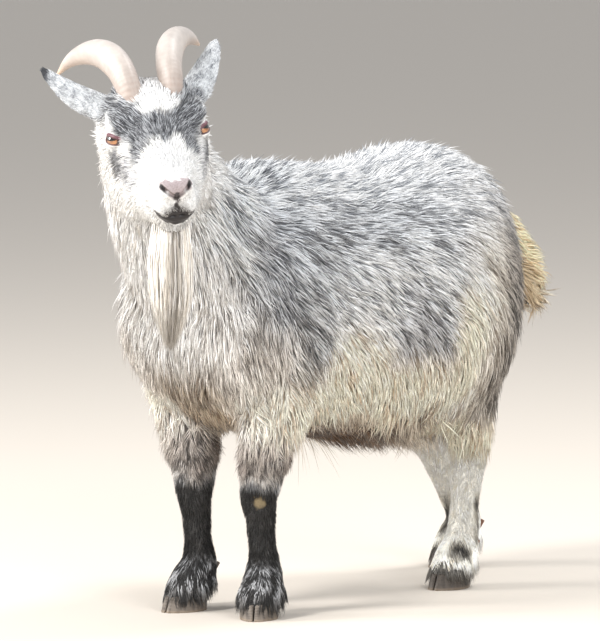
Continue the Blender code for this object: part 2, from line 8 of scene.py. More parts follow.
import bmesh
import bpy
import numpy as np
from mathutils import Matrix, Vector
from mathutils.bvhtree import BVHTree


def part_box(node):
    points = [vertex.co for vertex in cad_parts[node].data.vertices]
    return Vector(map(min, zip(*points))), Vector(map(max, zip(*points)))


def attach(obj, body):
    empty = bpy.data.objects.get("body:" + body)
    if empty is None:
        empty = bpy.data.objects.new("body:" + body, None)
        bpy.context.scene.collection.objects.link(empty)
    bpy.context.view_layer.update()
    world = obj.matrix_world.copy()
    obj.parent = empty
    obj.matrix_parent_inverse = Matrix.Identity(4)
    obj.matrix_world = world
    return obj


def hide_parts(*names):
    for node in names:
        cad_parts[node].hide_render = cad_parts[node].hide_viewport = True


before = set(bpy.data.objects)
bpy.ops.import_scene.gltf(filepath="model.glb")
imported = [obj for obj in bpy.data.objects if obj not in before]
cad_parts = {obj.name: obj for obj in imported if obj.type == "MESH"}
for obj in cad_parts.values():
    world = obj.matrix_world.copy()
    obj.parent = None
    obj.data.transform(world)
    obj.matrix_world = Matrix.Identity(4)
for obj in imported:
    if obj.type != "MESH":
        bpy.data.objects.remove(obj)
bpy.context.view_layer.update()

# Hide ----------------------------------------------------------------------------------------------
# The animal's skin, in one piece from the nose to the coronets of the hooves. It lies under the tips of
# the coat by the coat's depth, thin on the face and shanks and deep on the body, and is worked round
# the eyelids, nostrils and lips. It is short-furred underneath, so it shows no bare hide between locks.

PIECES_OF_FLESH = ("head", "neck", "trunk", "tail", "ear_left", "ear_right")
PARTS_OF_LEG = {
    "front": ("shoulder", "forearm", "cannon", "foot"),
    "hind": ("thigh", "gaskin", "cannon", "foot"),
}
LEGS = ("front_left", "front_right", "hind_left", "hind_right")
SIDES = {1: "left", -1: "right"}
SWELL = 0.0011  # each solid grows by this, so that the cuts between them close
GRAIN = 0.0022  # voxel size of the merged hide
HIDE_TRIANGLES = 88000
SKULL_TURN, SKULL_DROP, SKULL_TIP = 52.4, 25.0, -7.4  # degrees: to its left, nose down, left side up
EYE_PLACE, EYE_RADIUS = Vector((0.0440, -0.011, -0.003)), 0.0118  # left eye, in the head's own axes
NOSTRIL_WING, NOSTRIL_WING_RADII = Vector((0.0125, -0.119, -0.0085)), (0.0050, 0.0060, 0.0040)
EAR_LENGTH = 0.078
EARS = {  # root and heading, in the head's axes; 1 is its left
    1: (Vector((0.0410, 0.057, 0.006)), Vector((0.606, 0.709, 0.372))),
    -1: (Vector((-0.0465, 0.052, 0.012)), Vector((-0.837, 0.201, 0.509))),
}

flesh = list(PIECES_OF_FLESH)
for leg in LEGS:
    flesh += [f"{part}_{leg}" for part in PARTS_OF_LEG[leg.split("_")[0]]]


def middle_of(node):
    low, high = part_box(node)
    return (low + high) / 2


skull_turn = (
    Matrix.Rotation(math.radians(SKULL_TURN), 4, "Z")
    @ Matrix.Rotation(math.radians(SKULL_DROP), 4, "X")
    @ Matrix.Rotation(math.radians(SKULL_TIP), 4, "Y")
)
between_eyes = (middle_of("eye_left") + middle_of("eye_right")) / 2
HEAD = Matrix.Translation(between_eyes - skull_turn @ Vector((0, *EYE_PLACE[1:]))) @ skull_turn
HEAD_BACK = np.array(HEAD.inverted())


def in_head(points):
    """The same points in the head's axes: origin between the brows, -Y to the nose, +X its left."""
    return points @ HEAD_BACK[:3, :3].T + HEAD_BACK[:3, 3]


def out_of_head(points):
    """Points in the head's axes, back in the model's."""
    forward = np.array(HEAD)
    return points @ forward[:3, :3].T + forward[:3, 3]


def on_side(place, side):
    """A place given on the left, 1, or its mirror on the right, -1."""
    return Vector((side * place.x, *place[1:]))


def ease(value, low, high):
    """0 below low, 1 above high, and a smooth rise between."""
    share = np.clip((value - low) / (high - low), 0, 1)
    return share * share * (3 - 2 * share)


def within(points, centre, radii, soft=0.35):
    """1 inside an ellipsoid, 0 outside, fading over its soft edge."""
    return 1 - ease(np.linalg.norm((points - np.array(centre)) / np.array(radii), axis=1), 1 - soft, 1 + soft)


def copied(name, swell):
    """A node's shape as one closed bmesh, grown outwards a little."""
    bm = bmesh.new()
    bm.from_mesh(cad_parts[name].data)
    bmesh.ops.remove_doubles(bm, verts=bm.verts, dist=0.00002)
    bm.normal_update()
    moves = [vertex.normal * swell for vertex in bm.verts]
    for vertex, move in zip(bm.verts, moves):
        vertex.co += move
    return bm


def mesh_of(bm, name):
    """The finished bmesh as a mesh."""
    mesh = bpy.data.meshes.new(name)
    bm.to_mesh(mesh)
    bm.free()
    return mesh


def placed(name, data):
    """A new object in the scene, at the origin."""
    thing = bpy.data.objects.new(name, data)
    bpy.context.scene.collection.objects.link(thing)
    return thing


def finished(name, mesh):
    """The mesh as a shown piece of the goat, which is all one still body."""
    piece = placed(name, mesh)
    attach(piece, "root")
    return piece


def made_by(helper):
    """The mesh that a helper's modifiers give. The helper and its own mesh are taken away."""
    graph = bpy.context.evaluated_depsgraph_get()
    made = bpy.data.meshes.new_from_object(helper.evaluated_get(graph))
    worn_out = helper.data
    bpy.data.objects.remove(helper)
    bpy.data.meshes.remove(worn_out)
    return made


def with_modifiers(mesh, *settings):
    """The mesh after modifiers, each given as (type, {setting: value})."""
    helper = placed("helper", mesh)
    for kind, values in settings:
        modifier = helper.modifiers.new(kind.lower(), kind)
        for key, value in values.items():
            setattr(modifier, key, value)
    return made_by(helper)


def points_of(mesh):
    co = np.zeros(len(mesh.vertices) * 3)
    mesh.vertices.foreach_get("co", co)
    return co.reshape(-1, 3)


def normals_of(mesh):
    normals = np.zeros(len(mesh.vertices) * 3)
    mesh.vertices.foreach_get("normal", normals)
    return normals.reshape(-1, 3)


def move_points(mesh, points):
    mesh.vertices.foreach_set("co", np.ascontiguousarray(points, np.float32).ravel())
    mesh.update()


def whole_hide():
    """The flesh solids, the eyes and the wings of the nostrils merged into one closed skin."""
    merged = bmesh.new()
    for name in (*flesh, "eye_left", "eye_right"):
        part = mesh_of(copied(name, SWELL), "part")
        merged.from_mesh(part)
        bpy.data.meshes.remove(part)
    for side in SIDES:
        wing = HEAD @ Matrix.Translation(on_side(NOSTRIL_WING, side))
        wing = wing @ Matrix.Diagonal((*NOSTRIL_WING_RADII, 1))
        bmesh.ops.create_uvsphere(merged, u_segments=16, v_segments=8, radius=1, matrix=wing)
    return with_modifiers(
        mesh_of(merged, "flesh"),
        ("REMESH", {"mode": "VOXEL", "voxel_size": GRAIN}),
        ("SMOOTH", {"factor": 0.5, "iterations": 3}),
    )


def thinned(mesh, triangles, kept):
    """Fewer triangles, most of them left where kept, a value from 0 to 1 for each vertex, is high."""
    helper = placed("helper", mesh)
    plain = helper.vertex_groups.new(name="plain")
    steps = np.round(kept, 1)
    for step in np.unique(steps):
        found = np.nonzero(np.abs(steps - step) < 0.01)[0]
        plain.add(found.tolist(), float(1.0 - 0.85 * step), "REPLACE")
    thin = helper.modifiers.new("thin", "DECIMATE")
    thin.ratio = triangles / sum(len(p.vertices) - 2 for p in mesh.polygons)
    thin.vertex_group, thin.vertex_group_factor = plain.name, 1.0
    thin.use_collapse_triangulate = True
    return made_by(helper)


def from_ear(points, side, start=0.012):
    """How far each point is from an ear's middle line past its start, and how far along, 1 at the tip."""
    root, heading = (np.array(part) for part in EARS[side])
    heading = heading / np.linalg.norm(heading)
    away = in_head(points) - root
    along = away @ heading
    clear = np.linalg.norm(away - np.clip(along, start, EAR_LENGTH)[:, None] * heading, axis=1)
    return clear, along / EAR_LENGTH


def coat_depth(points):
    """How far the tips of the coat stand over the hide."""
    head, height, back = in_head(points), points[:, 2], points[:, 1]
    depth = 0.0040 + 0.0072 * ease(height, 0.150, 0.235)
    depth += 0.0020 * ease(-height, -0.26, -0.20) * ease(height, 0.165, 0.185)

    def set_to(amount, value):
        nonlocal depth
        depth = depth * (1 - amount) + value * amount

    shank = 1 - ease(height, 0.125, 0.165)
    set_to(shank, 0.0014 + 0.0012 * ease(height, 0.05, 0.10))
    tail = ease(back, 0.285, 0.315) * ease(height, 0.26, 0.30)
    set_to(tail, 0.0085 - 0.004 * ease(back, 0.35, 0.395))
    skull = within(head, (0, 0.0, -0.03), (0.085, 0.095, 0.10), 0.25)
    set_to(skull, 0.0050)
    face = within(head, (0, -0.055, -0.02), (0.075, 0.085, 0.075), 0.25)
    set_to(face, 0.0032)
    snout = within(head, (0, -0.121, -0.025), (0.027, 0.020, 0.034), 0.3)
    set_to(snout, 0.0006)
    for side in EARS:
        set_to(within(head, on_side(EYE_PLACE, side), (0.024, 0.024, 0.020), 0.4), 0.0012)
        clear, _ = from_ear(points, side, 0.010)
        set_to(1 - ease(clear, 0.024, 0.034), 0.0009)
    return depth


rough = whole_hide()
head = in_head(points_of(rough))
kept = np.maximum(
    within(head, (0, -0.04, -0.02), (0.075, 0.10, 0.075), 0.2),
    0.5 * within(head, (0, 0.03, 0.01), (0.14, 0.10, 0.09), 0.2),
)
kept = np.maximum(kept, 0.45 * (1 - ease(points_of(rough)[:, 2], 0.16, 0.20)))
hide = thinned(rough, HIDE_TRIANGLES, kept)

SHANK_SPARED = 0.0016  # the hide is drawn in by this much less on the shanks
SNOUT = Vector((0, -0.115, -0.030))
FINE_ROUND_EYES, FINE_ON_SNOUT = (0.019, 0.0008), (0.034, 0.0011)  # reach, and longest edge within it


def settle_hide(mesh):
    """Draws the merged surface in from the tips of the coat to the skin, and evens it out."""
    points = points_of(mesh)
    shank = 1 - ease(points[:, 2], 0.125, 0.165)
    move_points(mesh, points - normals_of(mesh) * (SWELL + coat_depth(points) - SHANK_SPARED * shank)[:, None])
    bm = bmesh.new()
    bm.from_mesh(mesh)
    fine = [(HEAD @ on_side(EYE_PLACE, side), *FINE_ROUND_EYES) for side in SIDES]
    fine.append((HEAD @ SNOUT, *FINE_ON_SNOUT))
    for _ in range(3):
        long_edges = []
        for edge in bm.edges:
            middle = (edge.verts[0].co + edge.verts[1].co) / 2
            for centre, reach, length in fine:
                if (middle - centre).length < reach and edge.calc_length() > length:
                    long_edges.append(edge)
                    break
        if not long_edges:
            break
        bmesh.ops.subdivide_edges(bm, edges=long_edges, cuts=1, smooth=0.0)
        bmesh.ops.triangulate(bm, faces=[face for face in bm.faces if len(face.verts) > 3])
    close = [v for v in bm.verts if any((v.co - centre).length < reach + 0.003 for centre, reach, _ in fine)]
    for _ in range(4):
        bmesh.ops.smooth_vert(bm, verts=close, factor=0.5, use_axis_x=True, use_axis_y=True, use_axis_z=True)
    bm.to_mesh(mesh)
    bm.free()


settle_hide(hide)


def from_path(points, path):
    """Distance from each point to a line drawn through the path, and how far along it, from 0 to 1."""
    path = np.array(path, float)
    lengths = np.linalg.norm(path[1:] - path[:-1], axis=1)
    marks = np.concatenate([[0], np.cumsum(lengths)]) / lengths.sum()
    best = np.full(len(points), 9.0)
    along = np.zeros(len(points))
    for i in range(len(path) - 1):
        step = path[i + 1] - path[i]
        share = np.clip((points - path[i]) @ step / (step @ step), 0, 1)
        away = np.linalg.norm(points - path[i] - share[:, None] * step, axis=1)
        nearer = away < best
        best[nearer] = away[nearer]
        along[nearer] = (marks[i] + share * (marks[i + 1] - marks[i]))[nearer]
    return best, along


def mirrored(path, side=-1):
    """The path on the other side, or as it is for side 1."""
    return [(side * x, y, z) for x, y, z in path]


NOSTRIL = [
    (0.0035, -0.1235, -0.0170),
    (0.0085, -0.1245, -0.0125),
    (0.0135, -0.1205, -0.0075),
    (0.0165, -0.1150, -0.0055),
]
PHILTRUM = [(0, -0.1240, -0.0150), (0, -0.1225, -0.0220), (0, -0.1215, -0.0330)]
MOUTH = [  # from its left corner to the middle, then on to the right one
    (0.0300, -0.0800, -0.0400),
    (0.0270, -0.1000, -0.0395),
    (0.0200, -0.1150, -0.0400),
    (0, -0.1210, -0.0440),
]
MOUTH += mirrored(MOUTH[-2::-1])
TEAR = [(0.0430, -0.0240, -0.0060), (0.0360, -0.0450, -0.0060), (0.0300, -0.0620, -0.0080)]
EYE_OUTER, EYE_INNER, LID_UP, LID_LOW = 0.0118, 0.0145, 0.0016, 0.0042  # of the opening between the lids
LID = 0.0016  # thickness


def eye_axes(side):
    """Centre of an eye and its axes: out of the head, towards the inner corner, and up."""
    out = Vector((side * 0.78, -0.50, 0.42)).normalized()
    inner = Vector((side * -0.50, -0.80, 0.06))
    inner = (inner - out * inner.dot(out)).normalized()
    up = out.cross(inner) * -side
    return on_side(EYE_PLACE, side), out, inner, up.normalized()


def above_eye(points, side):
    """1 above an eye's middle and 0 below it."""
    centre, _, _, up = eye_axes(side)
    return ease((points - np.array(centre)) @ np.array(up), -0.001, 0.003)


def round_eye(points, side):
    """How far each point is past the edge of the lids, and its distance and way from the eye's middle."""
    centre, out, inner, up = eye_axes(side)
    away = points - np.array(centre)
    radius = np.linalg.norm(away, axis=1) + 1e-9
    ahead, across, high = (away @ np.array(axis) for axis in (out, inner, up))
    across = EYE_RADIUS * np.arctan2(across, np.maximum(ahead, 1e-6))
    high = EYE_RADIUS * np.arcsin(np.clip(high / radius, -1, 1))
    corner = np.where(across > 0, EYE_INNER, EYE_OUTER)
    share = np.clip(1 - (across / corner) ** 2, 0, 1) ** 0.8
    edge = np.where(high > 0, high - LID_UP * share, -high - LID_LOW * share)
    past = np.maximum(np.abs(across) - corner, 0)
    edge = np.where(past > 0, np.hypot(past, np.maximum(edge, 0)), edge)
    return np.where(ahead > 0, edge, 1.0), radius, away


def ridge(away, middle, half):
    """1 on a line drawn at that distance, falling off to both sides."""
    return np.exp(-(((away - middle) / half) ** 2))


def shape_face(mesh):
    """Lids drawn over the eyeballs, nostrils, the cleft of the lip, the mouth and the folds of the face."""
    points, normals = points_of(mesh), normals_of(mesh)
    head = in_head(points)
    inwards = -normals @ HEAD_BACK[:3, :3].T
    for side in SIDES:
        edge, radius, away = round_eye(head, side)
        lid = LID * (0.35 + 0.65 * ease(edge, 0, 0.0014)) - 0.0008 * ridge(edge, 0.0052, 0.0012)
        wanted = np.where(edge < 0, EYE_RADIUS - 0.0022, EYE_RADIUS + lid)
        hold = (1 - ease(edge, 0.0030, 0.0100)) * (1 - ease(radius, EYE_RADIUS + 0.004, EYE_RADIUS + 0.011))
        head = head + away / radius[:, None] * ((wanted - radius) * hold)[:, None]
        away, along = from_path(head, mirrored(TEAR, side))
        head = head + inwards * (0.0012 * ridge(away, 0, 0.004) * (1 - 0.6 * along))[:, None]
        away, along = from_path(head, mirrored(NOSTRIL, side))
        depth = 0.0058 * ridge(away, 0, 0.00165) * (0.75 + 0.25 * np.sin(math.pi * along))
        head = head + np.array((0, 1, 0.25)) * depth[:, None]
        rim = 0.0007 * ridge(away, 0.0040, 0.0014)
        head = head - inwards * rim[:, None]
    away, _ = from_path(head, PHILTRUM)
    head = head + inwards * (0.0018 * ridge(away, 0, 0.0013))[:, None]
    away, along = from_path(head, MOUTH)
    middle = np.sin(math.pi * along) ** 0.5
    head = head + inwards * (0.0034 * middle * ridge(away, 0, 0.0012))[:, None]
    lips = ridge(away, 0.0050, 0.0030) * middle
    head = head - inwards * (0.0009 * lips)[:, None]
    move_points(mesh, out_of_head(head))


shape_face(hide)


def whole_unwrap(mesh):
    """Lays the hide out flat; every lock of the coat takes its place from this map."""
    helper = placed("helper", mesh)
    bpy.context.view_layer.objects.active = helper
    helper.select_set(True)
    mesh.uv_layers.new(name="OFBake")
    bpy.ops.object.mode_set(mode="EDIT")
    bpy.ops.mesh.select_all(action="SELECT")
    bpy.ops.uv.smart_project(angle_limit=1.15, island_margin=0.002)
    bpy.ops.object.mode_set(mode="OBJECT")
    bpy.data.objects.remove(helper)


whole_unwrap(hide)


def tone(red, green, blue):
    """A colour given as display values, 0 to 255, as linear light."""
    value = np.array((red, green, blue)) / 255
    return np.where(value <= 0.04045, value / 12.92, ((value + 0.055) / 1.055) ** 2.4)


def blend(one, two, share):
    """One moved towards the other, row by row, by a share from 0 to 1."""
    return one + (two - one) * share[:, None]


def ripple(points, wavelength, seed, waves=7):
    """Smooth noise of about that wavelength, mostly from -1 to 1."""
    draw = np.random.default_rng(seed)
    total = np.zeros(len(points))
    for _ in range(waves):
        heading = draw.normal(size=3)
        heading *= 2 * math.pi / (wavelength * draw.uniform(0.7, 1.4) * np.linalg.norm(heading))
        total += np.sin(points @ heading + draw.uniform(0, 2 * math.pi))
    return total / math.sqrt(waves / 2)


# Each patch of the coat: centre, half sizes, pale hair, dark hair, share of dark hair. Both sides alike.
BODY_PATCHES = [
    ((0, 0.05, 0.50), (0.12, 0.34, 0.075), (247, 248, 250), (146, 150, 157), 0.30),
    ((0.13, 0.00, 0.34), (0.06, 0.16, 0.08), (246, 248, 251), (140, 141, 144), 0.33),
    ((0.14, 0.05, 0.27), (0.06, 0.10, 0.05), (226, 225, 226), (126, 124, 124), 0.40),
    ((0.15, 0.000, 0.300), (0.05, 0.036, 0.070), (212, 212, 215), (112, 111, 113), 0.43),
    ((0.14, -0.095, 0.265), (0.06, 0.060, 0.065), (255, 246, 230), (206, 189, 168), 0.22),
    ((0.11, 0.16, 0.43), (0.07, 0.09, 0.08), (243, 244, 247), (146, 149, 154), 0.34),
    ((0.08, -0.24, 0.42), (0.06, 0.07, 0.08), (236, 240, 245), (118, 121, 127), 0.36),
    ((0.11, -0.21, 0.37), (0.05, 0.06, 0.07), (238, 242, 247), (112, 115, 120), 0.34),
    ((0.105, -0.200, 0.395), (0.050, 0.032, 0.085), (214, 216, 220), (106, 107, 112), 0.39),
    ((0.12, -0.160, 0.335), (0.040, 0.024, 0.060), (212, 213, 215), (106, 106, 108), 0.41),
    ((0.03, -0.17, 0.51), (0.07, 0.10, 0.05), (238, 240, 243), (116, 119, 125), 0.36),
    ((0.02, -0.25, 0.33), (0.08, 0.06, 0.10), (246, 243, 240), (172, 167, 162), 0.34),
    ((0.02, -0.23, 0.24), (0.06, 0.05, 0.05), (200, 186, 168), (120, 104, 88), 0.42),
    ((0.10, -0.22, 0.29), (0.05, 0.05, 0.05), (240, 234, 228), (162, 155, 149), 0.32),
    ((0.08, -0.19, 0.22), (0.06, 0.06, 0.06), (248, 243, 238), (170, 164, 159), 0.26),
    ((0.07, -0.18, 0.165), (0.06, 0.05, 0.016), (226, 223, 220), (112, 109, 107), 0.38),
    ((0.10, -0.01, 0.245), (0.09, 0.20, 0.045), (255, 245, 227), (214, 193, 166), 0.20),
    # Brown hair under the belly, partly its own colour and partly painted shade under the body.
    ((0.00, -0.04, 0.186), (0.13, 0.14, 0.037), (128, 97, 69), (66, 47, 32), 0.60),
    ((0.14, 0.15, 0.29), (0.07, 0.07, 0.13), (253, 248, 238), (188, 175, 160), 0.22),
    ((0.154, 0.085, 0.29), (0.040, 0.026, 0.085), (252, 242, 224), (204, 186, 162), 0.18),
    ((0.110, 0.228, 0.31), (0.075, 0.096, 0.125), (188, 180, 172), (76, 72, 68), 0.56),
    ((0.01, -0.200, 0.212), (0.026, 0.050, 0.030), (220, 202, 178), (146, 124, 102), 0.36),
    ((0.00, 0.22, 0.24), (0.06, 0.09, 0.12), (224, 212, 197), (150, 136, 122), 0.30),
    ((0.08, 0.14, 0.185), (0.07, 0.10, 0.035), (252, 240, 220), (202, 182, 156), 0.26),
    ((0.00, -0.31, 0.41), (0.080, 0.075, 0.125), (255, 254, 251), (224, 219, 212), 0.15),
    # Painted shade: a darker streak of hair in the fold of the flank before the stifle.
    ((0.115, 0.063, 0.212), (0.014, 0.012, 0.030), (176, 160, 142), (92, 78, 64), 0.50),
    ((0.00, 0.33, 0.37), (0.05, 0.07, 0.09), (254, 236, 202), (206, 178, 138), 0.22),
]
HEAD_PATCHES = [
    ((0.000, -0.02, -0.01), (0.075, 0.115, 0.085), (255, 254, 252), (226, 224, 221), 0.20),
    ((0.045, -0.055, -0.020), (0.018, 0.030, 0.018), (232, 232, 234), (150, 151, 155), 0.42),
    ((0.040, 0.014, 0.030), (0.026, 0.028, 0.022), (178, 181, 185), (84, 86, 91), 0.50),
    ((0.060, 0.040, 0.012), (0.022, 0.026, 0.018), (190, 193, 198), (86, 88, 93), 0.45),
    ((0.050, -0.030, -0.019), (0.020, 0.019, 0.012), (166, 167, 171), (82, 82, 86), 0.58),
    ((0.030, -0.056, 0.008), (0.011, 0.017, 0.010), (200, 201, 204), (92, 93, 98), 0.52),
]
FACE_BAND = [  # from behind the left eye to the bridge of the nose, then on to the right
    (0.048, 0.014, 0.030),
    (0.036, -0.014, 0.026),
    (0.027, -0.037, 0.0215),
    (0.009, -0.0425, 0.0245),
]
FACE_BAND += mirrored(FACE_BAND[::-1])
FACE_BAND_HALF, FACE_BAND_TONES = 0.0192, ((178, 181, 186), (60, 62, 68), 0.60)
INNER_STREAK = [(0.021, -0.042, 0.021), (0.031, -0.060, 0.005)]  # down from the band beside the bridge
HEAD_WHITES = [
    ((0.000, 0.014, 0.044), (0.030, 0.029, 0.026), (250, 250, 250), (232, 232, 234), 0.08),
    ((0.000, -0.092, 0.008), (0.021, 0.030, 0.018), (238, 238, 238), (198, 198, 200), 0.22),
    ((0.000, -0.074, 0.014), (0.011, 0.013, 0.012), (240, 240, 240), (196, 196, 198), 0.24),
    ((0.050, -0.004, 0.017), (0.010, 0.014, 0.007), (248, 248, 248), (190, 190, 192), 0.20),
    ((0.056, 0.004, -0.020), (0.012, 0.016, 0.024), (252, 251, 249), (214, 211, 207), 0.15),
]
HIND_MARKS = [  # dark hair behind each hock and before each fetlock
    ((0.068, 0.208, 0.082), (0.016, 0.018, 0.026)),
    ((0.077, 0.160, 0.050), (0.013, 0.015, 0.015)),
    ((-0.062, 0.322, 0.080), (0.020, 0.022, 0.030)),
    ((-0.055, 0.292, 0.056), (0.022, 0.024, 0.022)),
]
BODY_TONES = ((218, 221, 225), (122, 123, 127), 0.40)  # pale hair, dark hair, share of dark hair
STOCKING_TONES = ((66, 64, 63), (22, 21, 21), 0.72)
FROST_TONES = ((196, 197, 200), (34, 33, 33), 0.68)
HIND_SHANK_TONES = ((255, 252, 242), (242, 233, 216), 0.10)
HIND_MARK_TONES = ((82, 78, 74), (28, 27, 26), 0.64)
FORE_CORONET_TONES = ((104, 102, 101), (30, 29, 29), 0.65)
HIND_CORONET_TONES = ((84, 80, 77), (34, 32, 31), 0.65)
UNDER_TAIL_TONES = ((150, 121, 92), (90, 66, 46), 0.50)
EAR_TONES = ((232, 235, 238), (118, 122, 130), 0.36)
RIGHT_EAR_TIP_TONES = ((110, 112, 117), (48, 50, 55), 0.75)
INNER_STREAK_TONES = ((186, 188, 192), (74, 76, 82), 0.56)
STREAK_AXES = np.array(((1, 0, 0), (0, 0.78, 0.14), (0, 0.62, -0.17)))  # along the hair drawn out


def markings(points):
    """Pale hair, dark hair and the share of dark hair at each place, for the hide and the locks alike."""
    count = len(points)
    warp = np.stack([ripple(points, 0.045, seed) for seed in (11, 12, 13)], axis=1) * 0.0045
    fine = np.stack([ripple(points, 0.014, seed) for seed in (14, 15, 16)], axis=1) * 0.0013
    spots = points + warp + fine
    spots[:, 0] = np.abs(spots[:, 0])
    streaks = ripple(points @ STREAK_AXES, 0.022, 17) * ease(points[:, 2], 0.17, 0.22)
    streaks = streaks * (1 - ease(-points[:, 1], 0.26, 0.31))
    head = in_head(points) + 0.25 * warp + 1.5 * fine
    head_sides = head.copy()
    head_sides[:, 0] = np.abs(head_sides[:, 0])
    pale = np.tile(tone(*BODY_TONES[0]), (count, 1))
    dark = np.tile(tone(*BODY_TONES[1]), (count, 1))
    share = np.full(count, BODY_TONES[2])

    def paint(amount, tones):
        nonlocal pale, dark, share
        amount = np.clip(amount, 0, 1)
        pale = blend(pale, tone(*tones[0]), amount)
        dark = blend(dark, tone(*tones[1]), amount)
        share = share + (tones[2] - share) * amount

    for centre, radii, *tones in BODY_PATCHES:
        paint(within(spots, centre, radii, 0.45), tones)
    share = share + 0.11 * streaks
    height, back = points[:, 2], points[:, 1]
    fore = ease(-back, 0.02, 0.08)
    hind = 1 - fore
    shank = 1 - ease(height + 0.10 * warp[:, 0], 0.138, 0.156)
    paint(shank * fore, STOCKING_TONES)
    frost = within(height[:, None] * [[0, 0, 1]], (0, 0, 0.040), (1, 1, 0.020), 0.4)
    paint(0.90 * frost * shank * fore, FROST_TONES)
    paint((1 - ease(height, 0.140, 0.185)) * hind, HIND_SHANK_TONES)
    for centre, radii in HIND_MARKS:
        paint(within(points + 0.5 * warp + 1.6 * fine, centre, radii, 0.4), HIND_MARK_TONES)
    coronet = 1 - ease(height + 0.3 * fine[:, 0], 0.029, 0.035)
    paint(0.9 * coronet * hind, HIND_CORONET_TONES)
    paint(coronet * fore, FORE_CORONET_TONES)
    downward = ease(-normal_hint(points)[:, 2], 0.35, 0.85)
    paint(downward * ease(back, 0.30, 0.33) * ease(height, 0.24, 0.27), UNDER_TAIL_TONES)
    for centre, radii, *tones in HEAD_PATCHES:
        paint(within(head_sides, centre, radii, 0.40), tones)
    away, along = from_path(head, FACE_BAND)
    fade = 1 - 0.35 * ease(np.abs(along - 0.5), 0.25, 0.45)
    paint(fade * (1 - ease(away, FACE_BAND_HALF - 0.006, FACE_BAND_HALF + 0.004)), FACE_BAND_TONES)
    for path in (INNER_STREAK, mirrored(INNER_STREAK)):
        away, _ = from_path(head, path)
        paint(0.9 * (1 - ease(away, 0.006, 0.012)), INNER_STREAK_TONES)
    for centre, radii, *tones in HEAD_WHITES:
        paint(within(head_sides, centre, radii, 0.35), tones)
    for side in EARS:
        clear, reach = from_ear(points, side)
        ear = 1 - ease(clear, 0.022, 0.030)
        paint(ear, EAR_TONES)
        if side < 0:
            paint(ear * ease(reach, 0.80, 0.90), RIGHT_EAR_TIP_TONES)
    return pale, dark, share


def nearest_on(meshes):
    """A tree to find the nearest surface of the meshes, and which of them each of its faces belongs to."""
    points, faces, owners = [], [], []
    for owner, mesh in enumerate(meshes):
        start = len(points)
        points += [vertex.co for vertex in mesh.vertices]
        faces += [[start + i for i in polygon.vertices] for polygon in mesh.polygons]
        owners += [owner] * len(mesh.polygons)
    return BVHTree.FromPolygons(points, faces), owners


hide_tree, _ = nearest_on([hide])


def normal_hint(points):
    """The hide's own direction outwards nearest to each point."""
    found = np.zeros((len(points), 3))
    for i, point in enumerate(points):
        found[i] = hide_tree.find_nearest(point)[1]
    return found


def coloured(mesh, name, colours):
    """Stores one linear colour for each vertex."""
    layer = mesh.color_attributes.new(name, "FLOAT_COLOR", "POINT")
    rows = np.ones((len(colours), 4), np.float32)
    rows[:, :3] = colours
    layer.data.foreach_set("color", rows.ravel())


KNEE_CALLUS = (0.060, -0.176, 0.129)  # a worn bare spot on the left fore knee
# The nostrils' near-black is painted shade inside their openings.
NOSE_SKIN, LIP_SKIN, NOSTRIL_SHADE = (158, 146, 147), (40, 37, 38), (26, 20, 21)
# The cleft's darker skin and the mouth's near-black line are painted shade in those hollows.
CLEFT_SHADE, MOUTH_SHADE, CALLUS_SKIN = (74, 68, 70), (24, 20, 21), (124, 110, 84)
EYE_RIM, UPPER_LID = (84, 56, 56), (112, 76, 84)
NOSE_TOP = [(-0.013, -0.116, -0.0050), (0, -0.121, -0.0075), (0.013, -0.116, -0.0050)]
LOWER_LIP = [
    (-0.024, -0.108, -0.040),
    (-0.012, -0.120, -0.041),
    (0, -0.1215, -0.043),
    (0.012, -0.120, -0.041),
    (0.024, -0.108, -0.040),
]
CHIN = [(-0.018, -0.115, -0.047), (0, -0.119, -0.053), (0.018, -0.115, -0.047)]


